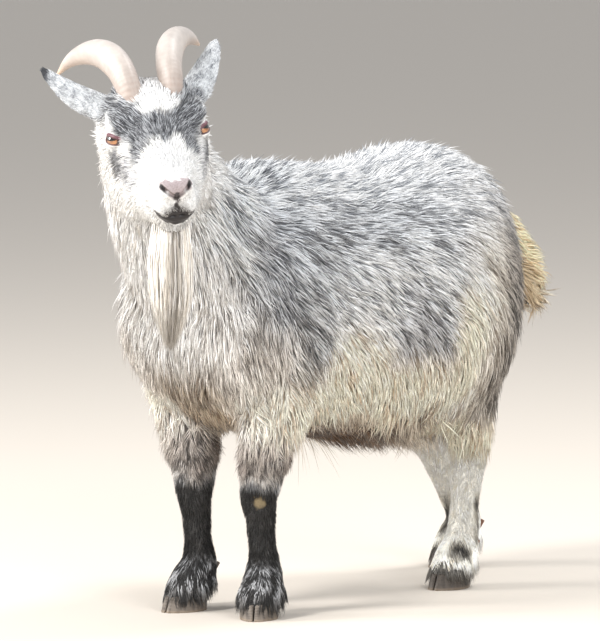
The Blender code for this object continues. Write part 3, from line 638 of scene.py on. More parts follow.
def paint_hide(mesh):
    """The colours under the coat, and those of the bare nose, lips and eyelids."""
    points = points_of(mesh)
    head = in_head(points)
    pale, dark, share = markings(points)
    streak = np.clip(0.5 + 0.5 * ripple(points, 0.005, 21), 0, 1)
    mixed = np.clip(share + (streak - 0.5) * 0.5, 0, 1)
    white = ease(pale.mean(axis=1), 0.70, 0.95)
    # The short fur under the coat is darkened as painted shade beneath the locks.
    colour = blend(pale, dark, mixed) * (0.80 + 0.12 * white)[:, None]
    bare = np.zeros(len(points))

    def put(amount, shade, is_bare=1.0):
        nonlocal colour, bare
        amount = np.clip(amount, 0, 1)
        colour = blend(colour, tone(*shade), amount)
        bare = bare + (is_bare - bare) * amount

    def put_along(path, inner, outer, shade, blur=0):
        away, _ = from_path(head, path)
        put(1 - ease(away + blur, inner, outer), shade)

    blur = 0.0012 * ripple(points, 0.006, 22)
    put_along(NOSE_TOP, 0.0050, 0.0085, NOSE_SKIN, blur)
    put(within(head, (0, -0.1230, -0.0130), (0.0090, 0.014, 0.0080), 0.3), NOSE_SKIN)
    # Painted shade: darker down the groove of the cleft under the nose.
    put_along([(0, -0.123, -0.014), (0, -0.122, -0.030)], 0.0022, 0.0048, CLEFT_SHADE, blur)
    # Painted shade: near-black inside the openings of the nostrils.
    for side in SIDES:
        away, along = from_path(head, [(0, -0.1230, -0.0215)] + mirrored(NOSTRIL, side))
        put(1 - ease(away, 0.0020 - 0.0004 * along, 0.0036), NOSTRIL_SHADE)
    put_along(LOWER_LIP, 0.0032, 0.0062, LIP_SKIN, blur)
    put(within(head, (0, -0.1215, -0.0390), (0.0130, 0.020, 0.0100), 0.5), LIP_SKIN)
    put_along(CHIN, 0.0080, 0.0108, LIP_SKIN, blur)
    put_along([(0, -0.1225, -0.028), (0, -0.1215, -0.038)], 0.0012, 0.0032, LIP_SKIN, blur)
    # Painted shade: a near-black line in the slit between the lips.
    put_along(MOUTH, 0.0006, 0.0016, MOUTH_SHADE)
    for side in SIDES:
        edge, radius, _ = round_eye(head, side)
        near = 1 - ease(radius, EYE_RADIUS + 0.004, EYE_RADIUS + 0.007)
        put((1 - ease(edge, 0.0040, 0.0060)) * near * above_eye(head, side), UPPER_LID)
        put((1 - ease(edge, 0.0008, 0.0022)) * near, EYE_RIM)
    put(within(points, KNEE_CALLUS, (0.0072, 0.014, 0.0074), 0.25), CALLUS_SKIN, 0.3)
    coloured(mesh, "shade", colour)
    layer = mesh.attributes.new("bare", "FLOAT", "POINT")
    layer.data.foreach_set("value", bare.astype(np.float32))


paint_hide(hide)


def new_finish(name, roughness, specular):
    """A material with a Principled shader, ready for its own nodes."""
    finish = bpy.data.materials.new(name)
    finish.use_nodes = True
    shader = finish.node_tree.nodes["Principled BSDF"]
    shader.inputs["Roughness"].default_value = roughness
    shader.inputs["Specular IOR Level"].default_value = specular
    return finish, finish.node_tree, shader


def stored_colour(tree):
    """The colour that the piece carries in its own points."""
    shade = tree.nodes.new("ShaderNodeVertexColor")
    shade.layer_name = "shade"
    return shade.outputs["Color"]


def add_noise(tree, scale, detail, stretch=(1, 1, 1)):
    """Fine grain on the piece's own coordinates."""
    place = tree.nodes.new("ShaderNodeTexCoord")
    mapping = tree.nodes.new("ShaderNodeMapping")
    mapping.inputs["Scale"].default_value = stretch
    noise = tree.nodes.new("ShaderNodeTexNoise")
    noise.inputs["Scale"].default_value = scale
    noise.inputs["Detail"].default_value = detail
    tree.links.new(place.outputs["Object"], mapping.inputs["Vector"])
    tree.links.new(mapping.outputs["Vector"], noise.inputs["Vector"])
    return noise.outputs["Fac"]


def ranged(tree, value, to_range, from_range=(0.0, 1.0)):
    """The value stretched from one range to another."""
    spread = tree.nodes.new("ShaderNodeMapRange")
    for word, ends in (("From", from_range), ("To", to_range)):
        spread.inputs[word + " Min"].default_value, spread.inputs[word + " Max"].default_value = ends
    tree.links.new(value, spread.inputs["Value"])
    return spread.outputs["Result"]


def add_colour(tree, shader, grain, amount, from_range, to_range):
    """The stored colour, made darker and lighter by the grain."""
    tint = tree.nodes.new("ShaderNodeMix")
    tint.data_type, tint.blend_type = "RGBA", "MULTIPLY"
    tint.inputs[0].default_value = amount
    tree.links.new(stored_colour(tree), tint.inputs[6])
    tree.links.new(ranged(tree, grain, to_range, from_range), tint.inputs[7])
    tree.links.new(tint.outputs[2], shader.inputs["Base Color"])


def add_bump(tree, shader, height, strength, distance):
    bump = tree.nodes.new("ShaderNodeBump")
    bump.inputs["Strength"].default_value = strength
    bump.inputs["Distance"].default_value = distance
    tree.links.new(height, bump.inputs["Height"])
    tree.links.new(bump.outputs["Normal"], shader.inputs["Normal"])


def hide_finish():
    """Skin: leathery and damp where bare, dull under the coat, with pores and short hair as relief."""
    finish, tree, shader = new_finish("hide_finish", 0.8, 0.35)
    grain = add_noise(tree, 620, 4.0)
    add_colour(tree, shader, grain, 0.5, (0.3, 0.7), (0.55, 1.25))
    bare = tree.nodes.new("ShaderNodeAttribute")
    bare.attribute_name = "bare"
    tree.links.new(ranged(tree, bare.outputs["Fac"], (0.85, 0.42)), shader.inputs["Roughness"])
    add_bump(tree, shader, grain, 0.35, 0.0008)
    return finish


hide.materials.clear()
hide.materials.append(hide_finish())
hide.shade_smooth()
hide_piece = finished("hide", hide)
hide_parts(*flesh)

# Coat ----------------------------------------------------------------------------------------------
# Guard hairs held together in thin pointed locks, each a closed spike with its root in the hide. They
# lie back from the nose, down the neck and legs and slantwise over the flank, as the animal is combed
# by its own growth: shortest on the nose and feet, longest on the belly, the thighs and the tail.

COMBED_BODY = [  # place on the left side, way the hair lies; the right side is its mirror
    ((0.03, -0.24, 0.54), (0.10, 0.75, -0.45)),
    ((0.03, -0.17, 0.52), (0.10, 0.90, -0.30)),
    ((0.072, -0.26, 0.47), (0.18, 0.50, -0.80)),
    ((0.03, -0.30, 0.43), (0.05, 0.20, -1.00)),
    ((0.00, -0.30, 0.38), (0.00, 0.05, -1.00)),
    ((0.03, -0.255, 0.31), (0.00, 0.10, -1.00)),
    ((0.09, -0.21, 0.42), (0.10, 0.62, -0.78)),
    ((0.10, -0.22, 0.33), (0.00, 0.40, -0.95)),
    ((0.08, -0.15, 0.46), (0.10, 0.85, -0.50)),
    ((0.03, -0.10, 0.50), (0.15, 1.00, -0.12)),
    ((0.03, 0.02, 0.505), (0.18, 1.00, -0.05)),
    ((0.03, 0.13, 0.51), (0.20, 1.00, -0.12)),
    ((0.04, 0.22, 0.48), (0.20, 0.80, -0.50)),
    ((0.05, 0.29, 0.40), (0.10, 0.35, -0.95)),
    ((0.10, -0.05, 0.44), (0.05, 0.92, -0.38)),
    ((0.10, 0.07, 0.45), (0.05, 0.92, -0.38)),
    ((0.11, 0.16, 0.44), (0.05, 0.70, -0.65)),
    ((0.12, -0.14, 0.36), (0.00, 0.65, -0.72)),
    ((0.14, -0.05, 0.35), (0.00, 0.70, -0.70)),
    ((0.15, 0.03, 0.36), (0.00, 0.66, -0.75)),
    ((0.15, 0.10, 0.37), (0.00, 0.48, -0.88)),
    ((0.11, -0.10, 0.26), (0.00, 0.50, -0.86)),
    ((0.12, 0.01, 0.25), (-0.10, 0.32, -0.95)),
    ((0.13, 0.07, 0.27), (-0.05, 0.15, -1.00)),
    ((0.04, -0.06, 0.185), (0.00, 0.75, -0.60)),
    ((0.04, 0.05, 0.185), (0.00, 0.70, -0.70)),
    ((0.15, 0.15, 0.35), (0.00, 0.18, -1.00)),
    ((0.14, 0.17, 0.25), (-0.05, 0.08, -1.00)),
    ((0.08, 0.25, 0.30), (0.00, 0.05, -1.00)),
    ((0.02, 0.17, 0.24), (0.00, 0.10, -1.00)),
    ((0.07, -0.19, 0.20), (0.00, 0.10, -1.00)),
    ((0.07, -0.17, 0.09), (0.00, 0.06, -1.00)),
    ((0.07, 0.21, 0.15), (0.00, 0.15, -1.00)),
    ((0.07, 0.19, 0.08), (0.00, 0.02, -1.00)),
    ((0.07, 0.29, 0.12), (0.00, 0.08, -1.00)),
]
COMBED_TAIL = Vector((0.0, 0.86, -0.50))
COMBED_HEAD = [  # the same in the head's axes
    ((0.000, -0.115, 0.000), (0.00, 0.90, 0.35)),
    ((0.000, -0.085, 0.012), (0.00, 1.00, 0.25)),
    ((0.012, -0.065, 0.016), (0.35, 0.95, 0.20)),
    ((0.000, -0.045, 0.025), (0.00, 1.00, 0.30)),
    ((0.018, -0.040, 0.024), (0.50, 0.86, 0.10)),
    ((0.030, -0.020, 0.028), (0.62, 0.78, 0.05)),
    ((0.000, -0.010, 0.042), (0.00, 1.00, 0.25)),
    ((0.022, 0.005, 0.040), (0.30, 0.95, 0.10)),
    ((0.000, 0.030, 0.048), (0.00, 1.00, 0.00)),
    ((0.025, -0.075, 0.000), (0.45, 0.85, -0.25)),
    ((0.035, -0.060, -0.015), (0.30, 0.80, -0.50)),
    ((0.046, -0.010, 0.022), (0.55, 0.80, 0.20)),
    ((0.052, -0.028, -0.018), (0.20, 0.72, -0.65)),
    ((0.055, 0.020, -0.005), (0.25, 0.90, -0.35)),
    ((0.050, 0.005, -0.040), (0.05, 0.62, -0.78)),
    ((0.040, -0.045, -0.050), (0.05, 0.60, -0.80)),
    ((0.022, -0.105, -0.015), (0.50, 0.80, -0.25)),
    ((0.024, -0.100, -0.045), (0.30, 0.70, -0.65)),
    ((0.000, -0.118, -0.062), (0.00, 0.10, -1.00)),
    ((0.015, -0.080, -0.066), (0.05, 0.45, -0.90)),
    ((0.000, -0.020, -0.075), (0.00, 0.55, -0.85)),
    ((0.050, 0.045, 0.010), (0.55, 0.80, 0.15)),
]


def combed(points, strokes):
    """Directions blended from the nearest strokes of the comb, mirrored from side to side."""
    side = np.where(points[:, 0] < 0, -1.0, 1.0)
    folded = points * np.stack([side, np.ones(len(points)), np.ones(len(points))], axis=1)
    total = np.zeros_like(points)
    for place, way in strokes:
        gap = ((folded - np.array(place)) ** 2).sum(axis=1) + 1e-6
        total += np.array(way) / gap[:, None] ** 2
    total[:, 0] *= side
    return total / np.linalg.norm(total, axis=1)[:, None]


def lie_of_coat(points, up):
    """The way the hair lies at each place, along the surface."""
    way = combed(points, COMBED_BODY)
    head = in_head(points)
    tail = ease(points[:, 1], 0.290, 0.315) * ease(points[:, 2], 0.25, 0.28)
    way = blend(way, np.array(COMBED_TAIL), tail)
    on_head = within(head, (0, -0.02, -0.01), (0.080, 0.115, 0.095), 0.2)
    turned = combed(head, COMBED_HEAD) @ np.array(HEAD)[:3, :3].T
    way = blend(way, turned, on_head)
    for side in EARS:
        clear, _ = from_ear(points, side)
        along = np.array((HEAD.to_3x3() @ EARS[side][1]).normalized())
        way = blend(way, along, 1 - ease(clear, 0.022, 0.032))
    swirl = np.stack([ripple(points, 0.060, seed) for seed in (31, 32, 33)], axis=1) * 0.10
    breast = within(points * (0, 1, 1), (0, -0.27, 0.36), (1, 0.09, 0.15), 0.3)
    part = np.stack([ripple(points, 0.016, seed) for seed in (34, 35, 36)], axis=1)
    calm = np.maximum(breast, 1 - ease(points[:, 2], 0.19, 0.24))
    part = part * (0.11 - 0.06 * calm)[:, None]
    way = way + swirl + part
    way = way + up * (0.42 * (1 - ease(points[:, 2], 0.036, 0.060)))[:, None]
    low = ease(points[:, 2], 0.036, 0.060)[:, None]
    way = way - up * ((way * up).sum(axis=1)[:, None] * low)
    return way / (np.linalg.norm(way, axis=1)[:, None] + 1e-9)


def coat_growth(points):
    """Length and width of the locks, how much they hang, and how many lie over each other."""
    head, height, back = in_head(points), points[:, 2], points[:, 1]
    length = np.full(len(points), 0.0240)
    width = np.full(len(points), 0.00130)
    hang = np.full(len(points), 0.15)
    layers = np.full(len(points), 2.42)

    def set_to(amount, *values):
        nonlocal length, width, hang, layers
        amount = np.clip(amount, 0, 1)
        length = length + (values[0] - length) * amount
        width = width + (values[1] - width) * amount
        hang = hang + (values[2] - hang) * amount
        layers = layers + (values[3] - layers) * amount

    set_to(ease(height, 0.42, 0.47), 0.0235, 0.00128, 0.10, 2.45)
    set_to(1 - ease(height, 0.19, 0.25), 0.032, 0.0014, 0.75, 2.8)
    thigh = within(points * (0, 1, 1), (0, 0.17, 0.22), (1, 0.12, 0.10), 0.3)
    set_to(thigh, 0.032, 0.0014, 0.65, 2.8)
    tail = ease(back, 0.285, 0.315) * ease(height, 0.25, 0.28)
    set_to(tail, 0.038, 0.0014, 0.2, 4.6)
    breast = within(points * (0, 1, 1), (0, -0.27, 0.36), (1, 0.08, 0.13), 0.3)
    set_to(breast, 0.030, 0.0011, 0.30, 2.6)
    feather = within(points * (0, 1, 1), (0, 0.026, 0.188), (1, 0.056, 0.034), 0.25)
    groin = within(points, (0, 0.120, 0.188), (0.022, 0.085, 0.034), 0.25)
    feather = np.maximum(feather, groin)
    set_to(feather, 0.056, 0.0014, 1.1, 3.2)
    fore_arm = (1 - ease(height, 0.180, 0.225)) * (1 - ease(back, -0.14, -0.09))
    set_to(fore_arm, 0.0155, 0.00095, 0.25, 2.2)
    hock = (1 - ease(height, 0.164, 0.188)) * ease(back, 0.12, 0.15)
    set_to(hock, 0.0230, 0.0012, 0.40, 2.6)
    bare_leg = 0.160 - 0.020 * ease(back, 0.0, 0.05)
    set_to(1 - ease(height, bare_leg, bare_leg + 0.026), 0.0088, 0.0010, 0.2, 2.5)
    set_to((1 - ease(height, 0.130, 0.150)) * ease(back, 0.05, 0.10), 0.0078, 0.0009, 0.2, 2.5)
    set_to(within(points, KNEE_CALLUS, (0.020, 0.016, 0.020), 0.5), 0.0050, 0.0009, 0.0, 2.6)
    set_to(1 - ease(height, 0.038, 0.060), 0.0165, 0.00105, 0.8, 3.8)
    on_head = within(head, (0, 0.0, -0.01), (0.085, 0.125, 0.100), 0.15)
    set_to(on_head, 0.0120, 0.0010, 0.1, 2.8)
    ruff = within(head * (0, 1, 1), (0, 0.0, -0.065), (1, 0.07, 0.040), 0.3)
    set_to(ruff * on_head, 0.0220, 0.0012, 0.45, 3.2)
    face = within(head, (0, -0.075, -0.01), (0.070, 0.068, 0.060), 0.25)
    set_to(face, 0.0088, 0.00085, 0.0, 2.7)
    eyes = [within(head, on_side(EYE_PLACE, side), (0.026, 0.024, 0.019), 0.35) for side in SIDES]
    set_to(np.maximum(*eyes), 0.0048, 0.0008, 0.0, 2.6)
    snout = within(head, (0, -0.118, -0.025), (0.030, 0.020, 0.038), 0.3)
    set_to(snout, 0.0036, 0.0007, 0.0, 2.0)
    for side in EARS:
        clear, _ = from_ear(points, side)
        set_to(1 - ease(clear, 0.022, 0.032), 0.0042, 0.00075, 0.0, 2.0)
    return length, width, hang, layers


def bald(points):
    """1 where no hair grows: the nose, the lips, the lids and eyes, and the soles of the feet."""
    head = in_head(points)
    none = 1 - ease(points[:, 2], 0.0215, 0.0245)
    none = np.maximum(none, within(points, KNEE_CALLUS, (0.0066, 0.014, 0.0068), 0.1))
    paths = [
        (NOSE_TOP, 0.0062),
        ([(0, -0.122, -0.008), (0, -0.1235, -0.016)], 0.0064),
        ([(0, -0.123, -0.016), (0, -0.122, -0.030)], 0.0030),
        ([(0, -0.1225, -0.030), (0, -0.1215, -0.040)], 0.0024),
        ([(-0.005, -0.121, -0.040), (0.005, -0.121, -0.040)], 0.0060),
        ([(-0.023, -0.109, -0.040), (0, -0.1215, -0.043), (0.023, -0.109, -0.040)], 0.0042),
        ([(-0.016, -0.115, -0.047), (0, -0.119, -0.053), (0.016, -0.115, -0.047)], 0.0084),
        (MOUTH, 0.0016),
        (NOSTRIL, 0.0042),
        (mirrored(NOSTRIL), 0.0042),
    ]
    for path, reach in paths:
        away, _ = from_path(head, path)
        none = np.maximum(none, 1 - ease(away, reach - 0.0008, reach + 0.0008))
    for side in SIDES:
        edge, radius, _ = round_eye(head, side)
        lids = 1 - ease(edge - 0.0018 * above_eye(head, side), 0.0016, 0.0026)
        lids = lids * (radius < EYE_RADIUS + 0.006)
        none = np.maximum(none, lids)
    return none


def corners_of(mesh):
    """Corner places, normals and map places of every triangle."""
    count = len(mesh.polygons)
    index = np.zeros(count * 3, int)
    mesh.loops.foreach_get("vertex_index", index)
    spread = np.zeros(count * 6)
    mesh.uv_layers["OFBake"].data.foreach_get("uv", spread)
    index = index.reshape(-1, 3)
    return points_of(mesh)[index], normals_of(mesh)[index], spread.reshape(-1, 3, 2)


SHORT_LOCK = 0.0100  # below this a lock is a plain spike, above it bends along the body
LONG_LOCK = 0.036  # above this it bends twice
PATCH = 0.0015  # half the size of a lock's place on the map
FEWEST_LOCKS = 40  # a piece with fewer isn't made
STRAY_LOCKS = 0.06  # share of the locks that stand up out of the coat
ROOT_DEPTH, ABOVE_GROUND = 0.0007, 0.0008  # of the roots in the hide, and of the lowest tips
CLAWS = [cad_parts[name].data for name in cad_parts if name.startswith("claw")]


def sown(seed):
    """Roots of all locks, strewn over the hide as thickly as they grow."""
    draw = np.random.default_rng(seed)
    corners, ups, maps = corners_of(hide)
    middles = corners.mean(axis=1)
    areas = np.linalg.norm(np.cross(corners[:, 1] - corners[:, 0], corners[:, 2] - corners[:, 0]), axis=1) / 2
    length, width, _, layers = coat_growth(middles)
    wanted = areas * layers / (0.5 * length * width) * (1 - bald(middles))
    count = int(wanted.sum())
    chosen = draw.choice(len(wanted), size=count, p=wanted / wanted.sum())
    a, b = draw.random(count), draw.random(count)
    folded = a + b > 1
    a[folded], b[folded] = 1 - a[folded], 1 - b[folded]
    mix = np.stack([1 - a - b, a, b], axis=1)[:, :, None]
    place = (corners[chosen] * mix).sum(axis=1)
    up = (ups[chosen] * mix).sum(axis=1)
    up /= np.linalg.norm(up, axis=1)[:, None]
    spot = np.clip((maps[chosen] * mix).sum(axis=1), 2 * PATCH, 1 - 2 * PATCH)
    bare_spot = bald(place) > 0.5
    return draw, place[~bare_spot], up[~bare_spot], spot[~bare_spot]


covered_tree, _ = nearest_on([hide, *CLAWS])


def curve_of_locks(draw, place, up, way, length, hang, rise, shares):
    """Middle line of every lock over the hide and claws, with the surface's own direction at each point."""
    side = np.cross(way, up)
    line, ups = [place - up * ROOT_DEPTH], [up]
    sway = draw.normal(0, 0.048, len(place)) + 0.085 * ripple(place, 0.009, 41)
    for share in shares:
        reach = (length * share)[:, None]
        point = place + way * reach + side * (sway * length * share**1.6)[:, None]
        point[:, 2] -= hang * length * 0.30 * share**2
        lift = rise * share**0.8
        outward = np.zeros_like(point)
        for i in range(len(point)):
            foot, normal, _, _ = covered_tree.find_nearest(point[i])
            outward[i] = normal
            clear = (Vector(point[i]) - foot).dot(normal)
            if clear < lift[i]:
                point[i] += np.array(normal) * (lift[i] - clear)
            else:
                point[i] -= np.array(normal) * ((clear - lift[i]) * (1 - hang[i]) * 0.85)
        point[:, 2] = np.maximum(point[:, 2], ABOVE_GROUND)
        line.append(point)
        ups.append(outward)
    return np.stack(line, axis=1), np.stack(ups, axis=1)


def spikes(name, line, ups, widths, colours, spot):
    """One mesh of closed three-sided spikes: rings of three along each line and a point at its end."""
    count, rings = line.shape[0], line.shape[1] - 1
    along = line[:, 1:] - line[:, :-1]
    side = np.cross(along, ups[:, :-1])
    side /= np.linalg.norm(side, axis=2)[:, :, None] + 1e-9
    crest = np.cross(side, along)
    crest /= np.linalg.norm(crest, axis=2)[:, :, None] + 1e-9
    half = widths[:, :, None] / 2
    left, right = line[:, :-1] - side * half, line[:, :-1] + side * half
    top = line[:, :-1] + crest * half * 0.85
    ring = np.stack([left, top, right], axis=2).reshape(count, rings * 3, 3)
    points = np.concatenate([ring, line[:, -1:]], axis=1)
    shades = np.concatenate([np.repeat(colours[:, :-1], 3, axis=1), colours[:, -1:]], axis=1)
    corners, sizes, places = [], [], []
    shares = np.linspace(-1, 1, rings + 1)
    across = (-1, 0, 1)
    for r in range(rings - 1):
        for x, y in ((0, 1), (1, 2), (2, 0)):
            corners += [3 * r + x, 3 * r + y, 3 * r + 3 + y, 3 * r + 3 + x]
            places += [(across[x], shares[r]), (across[y], shares[r])]
            places += [(across[y], shares[r + 1]), (across[x], shares[r + 1])]
            sizes.append(4)
    last = 3 * (rings - 1)
    for x, y in ((0, 1), (1, 2), (2, 0)):
        corners += [last + x, last + y, last + 3]
        places += [(across[x], shares[-2]), (across[y], shares[-2]), (0, 1)]
        sizes.append(3)
    corners += [0, 2, 1]
    places += [(-1, -1), (1, -1), (0, -0.7)]
    sizes.append(3)
    stride = rings * 3 + 1
    index = (np.array(corners)[None] + stride * np.arange(count)[:, None]).ravel()
    every = np.tile(np.array(sizes), count)
    mesh = bpy.data.meshes.new(name)
    mesh.vertices.add(count * stride)
    mesh.vertices.foreach_set("co", points.astype(np.float32).ravel())
    mesh.loops.add(len(index))
    mesh.loops.foreach_set("vertex_index", index.astype(np.int32))
    mesh.polygons.add(len(every))
    mesh.polygons.foreach_set("loop_start", np.concatenate([[0], np.cumsum(every)[:-1]]).astype(np.int32))
    mesh.update(calc_edges=True)
    layer = mesh.uv_layers.new(name="OFBake")
    spread = spot[:, None, :] + np.array(places)[None] * PATCH
    layer.data.foreach_set("uv", spread.astype(np.float32).ravel())
    coloured(mesh, "shade", shades.reshape(-1, 3))
    mesh.shade_smooth()
    return mesh


def hair_finish():
    """Hair: soft gloss, its colour carried by each lock, with the hairs themselves as fine relief."""
    finish, tree, shader = new_finish("hair_finish", 0.62, 0.25)
    shader.inputs["Sheen Weight"].default_value = 0.15
    shader.inputs["Sheen Roughness"].default_value = 0.5
    grain = add_noise(tree, 1400, 2.0)
    add_colour(tree, shader, grain, 0.35, (0.3, 0.7), (0.7, 1.2))
    add_bump(tree, shader, grain, 0.25, 0.0004)
    return finish


hair = hair_finish()


def tones_of_locks(draw, place, shares):
    """Each lock takes the pale or the dark hair of its place, darker at the root, paler at the tip: partly the
    hair's own banding, partly painted shade deep in the coat.
    """
    pale, dark, share = markings(place)
    clumps = 0.36 - 0.22 * within(in_head(place), (0, -0.03, 0), (0.085, 0.120, 0.09), 0.2)
    chance = draw.random(len(place)) * (1 - clumps) + clumps * (0.5 + 0.5 * ripple(place, 0.013, 51))
    is_dark = ease(share - chance, -0.10, 0.10)
    base = blend(pale, dark, is_dark) * draw.uniform(0.91, 1.08, len(place))[:, None]
    white = ease(base.mean(axis=1), 0.55, 0.90)[:, None]
    # Darker towards the root: partly the hair's own banding, partly painted shade among the locks.
    strength = 0.76 + 0.20 * white + (0.34 - 0.22 * white) * np.array(shares)[None] ** 0.6
    return np.clip(base[:, None, :] * strength[:, :, None], 0, 0.93)


def region_names(place):
    """Which node of the solid model each lock stands on, by the nearest surface."""
    tree, owners = nearest_on([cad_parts[name].data for name in flesh])
    return np.array([flesh[owners[tree.find_nearest(point)[2]]] for point in place])


def lay_coat():
    """All the locks, in pieces by the part of the body they stand on."""
    draw, place, up, spot = sown(7)
    length, width, hang, _ = coat_growth(place)
    rise = coat_depth(place)
    length = length * draw.uniform(0.72, 1.25, len(place)) * (1 + 0.10 * ripple(place, 0.020, 42))
    width = width * draw.uniform(0.75, 1.25, len(place))
    rise = rise * draw.uniform(0.45, 1.15, len(place))
    head = in_head(place)
    cheeks = within(head * (0, 1, 1), (0, 0.018, -0.034), (1, 0.030, 0.026), 0.4)
    cheeks = cheeks * (np.abs(head[:, 0]) > 0.035)
    rise = rise * (1 + 1.3 * cheeks)
    length = length * (1 + 0.5 * cheeks)
    stray = draw.random(len(place)) < STRAY_LOCKS
    stray = stray & (place[:, 2] > 0.17) & (place[:, 1] < 0.28) & (hang < 0.5)
    rise = np.where(stray, rise * 1.5, rise)
    bushy = ease(place[:, 1], 0.300, 0.330) * ease(place[:, 2], 0.25, 0.28)
    rise = rise * (1 + 1.2 * bushy)
    way = lie_of_coat(place, up)
    region = region_names(place)
    side = np.where(place[:, 0] > 0, "left", "right")
    part = np.where(place[:, 2] > 0.425, "back", np.where(place[:, 2] < 0.235, "belly", "flank"))
    end = np.where(place[:, 1] < 0.03, "fore", "rear")
    for i in np.nonzero(region == "trunk")[0]:
        region[i] = f"{part[i]}_{end[i]}_{side[i]}"
    region[(region == "head") & (head[:, 1] < -0.045)] = "face"
    for name in sorted(set(region)):
        here = region == name
        kinds = (
            ("short", length < SHORT_LOCK, (1.0,)),
            ("", (length >= SHORT_LOCK) & (length < LONG_LOCK), (0.5, 1.0)),
            ("long", length >= LONG_LOCK, (0.35, 0.7, 1.0)),
        )
        for kind, chosen, shares in kinds:
            mine = here & chosen
            if mine.sum() < FEWEST_LOCKS:
                continue
            line, ups = curve_of_locks(
                draw, place[mine], up[mine], way[mine], length[mine], hang[mine], rise[mine], shares
            )
            widths = width[mine][:, None] * np.array([0.85, 1.0, 0.72][: len(shares)])[None]
            colours = tones_of_locks(draw, place[mine], (0.0, *shares))
            title = "_".join(word for word in ("coat", name, kind) if word)
            mesh = spikes(title, line, ups, widths, colours, spot[mine])
            mesh.materials.append(hair)
            piece = finished(title, mesh)


lay_coat()

# Beard ---------------------------------------------------------------------------------------------
# A tuft of long straight hair under the chin, cream at the sides and grey in the middle. Its locks grow
# from the jaw and hang free, drawn together towards the end.

BEARD_HALF = (0.0170, 0.0225, 0.0250, 0.0235, 0.0185, 0.0110)  # half its breadth, from the chin down
BEARD_ROOTS, BEARD_ENDS = 0.018, 0.014  # how far the locks run past its solid, above and below
BEARD_LOCKS, BEARD_LOCK_WIDTH = 2900, 0.0019
BEARD_TAPER = np.array((0.8, 1.0, 1.0, 0.85, 0.6))
BEARD_MIDDLE_HALF = 0.0085  # half breadth of the greyer middle
BEARD_SIDE_TONES = ((252, 248, 242), (238, 230, 218))
BEARD_MIDDLE_TONES = ((206, 201, 195), (146, 138, 129))


def hang_beard():
    """All the locks in one piece, crowded at the chin and running out at their own lengths."""
    draw = np.random.default_rng(17)
    low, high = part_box("beard")
    middle = np.array(((low.x + high.x) / 2, (low.y + high.y) / 2))
    drop = high.z - low.z
    turn = draw.uniform(0, 2 * math.pi, BEARD_LOCKS)
    out = np.sqrt(draw.random(BEARD_LOCKS))
    start = draw.uniform(0.0, 0.35, BEARD_LOCKS) ** 1.3
    end = np.maximum(1.04 - 0.55 * draw.random(BEARD_LOCKS) ** 1.6 - 0.22 * out**3, start + 0.25)
    shares = np.linspace(0, 1, 6)
    wide = np.linspace(0, 1, len(BEARD_HALF))
    line = np.zeros((BEARD_LOCKS, len(shares), 3))
    wave = draw.uniform(0, 2 * math.pi, BEARD_LOCKS)
    for k, share in enumerate(shares):
        fall = start + (end - start) * share
        half = np.interp(fall, wide, BEARD_HALF)
        swing = 0.0019 * np.sin(6 * fall + wave + 2 * turn) * share
        line[:, k, 0] = middle[0] + half * out * np.cos(turn) + swing
        line[:, k, 1] = middle[1] + half * out * np.sin(turn) * 0.85 + swing
        line[:, k, 2] = high.z + BEARD_ROOTS - fall * (drop + BEARD_ROOTS + BEARD_ENDS)
    line[:, 0, :2] = middle + (line[:, 0, :2] - middle) * 0.55
    outward = np.zeros_like(line)
    outward[:, :, 0] = np.cos(turn)[:, None]
    outward[:, :, 1] = np.sin(turn)[:, None]
    widths = BEARD_LOCK_WIDTH * draw.uniform(0.6, 1.2, BEARD_LOCKS)[:, None] * BEARD_TAPER[None]
    across = HEAD.to_3x3() @ Vector((1, 0, 0))
    offset = (line[:, 2, 0] - middle[0]) * across.x + (line[:, 2, 1] - middle[1]) * across.y
    centred = 0.9 * ridge(offset, 0.001, BEARD_MIDDLE_HALF)
    pale, dark = (blend(tone(*BEARD_SIDE_TONES[k]), tone(*BEARD_MIDDLE_TONES[k]), centred) for k in (0, 1))
    is_dark = (draw.random(BEARD_LOCKS) < 0.25 + 0.45 * centred)[:, None]
    base = np.where(is_dark, dark, pale) * draw.uniform(0.88, 1.08, BEARD_LOCKS)[:, None]
    # Darker towards the root: partly the hair's own tone, partly painted shade under the chin where the locks
    # crowd.
    colours = np.clip(base[:, None, :] * (0.66 + 0.34 * shares**0.7)[None, :, None], 0, 0.96)
    chin = hide_tree.find_nearest(Vector((*middle, high.z)))[2]
    near = np.array(hide.uv_layers["OFBake"].data[hide.polygons[chin].loop_start].uv)
    spot = np.clip(near + np.stack([out * np.cos(turn), out * np.sin(turn)], axis=1) * 0.012, 0.004, 0.996)
    mesh = spikes("beard_hair", line, outward, widths, colours, spot)
    mesh.materials.append(hair)
    piece = finished("beard_hair", mesh)
    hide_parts("beard")


hang_beard()

# Eyes ----------------------------------------------------------------------------------------------
# Glass eyes, one ball each, a little domed in front under a clear gloss. The iris is amber with a level
# slit for a pupil, dark-edged, and the white hardly shows. They are set into the lids of the hide.

IRIS, IRIS_EDGE, PUPIL_EDGE, PUPIL = (190, 130, 84), (58, 34, 25), (96, 54, 34), (10, 8, 9)
WHITE_OF_EYE = (60, 42, 38)
EYE_DOME = 0.0007  # how far its front stands out of the ball
# The slit is drawn larger and higher than the pupil alone, as painted shade under the upper lid.
IRIS_HALF, PUPIL_HALF_LENGTH, PUPIL_HALF_HEIGHT, PUPIL_LIFT = 0.0088, 0.0070, 0.0024, 0.0008


def eye_finish():
    """Glass over a painted iris with fine fibres."""
    finish, tree, shader = new_finish("eye_finish", 0.12, 0.6)
    tree.links.new(stored_colour(tree), shader.inputs["Base Color"])
    shader.inputs["Coat Weight"].default_value = 1.0
    shader.inputs["Coat Roughness"].default_value = 0.03
    add_bump(tree, shader, add_noise(tree, 900, 3.0), 0.05, 0.0002)
    return finish


glass = eye_finish()


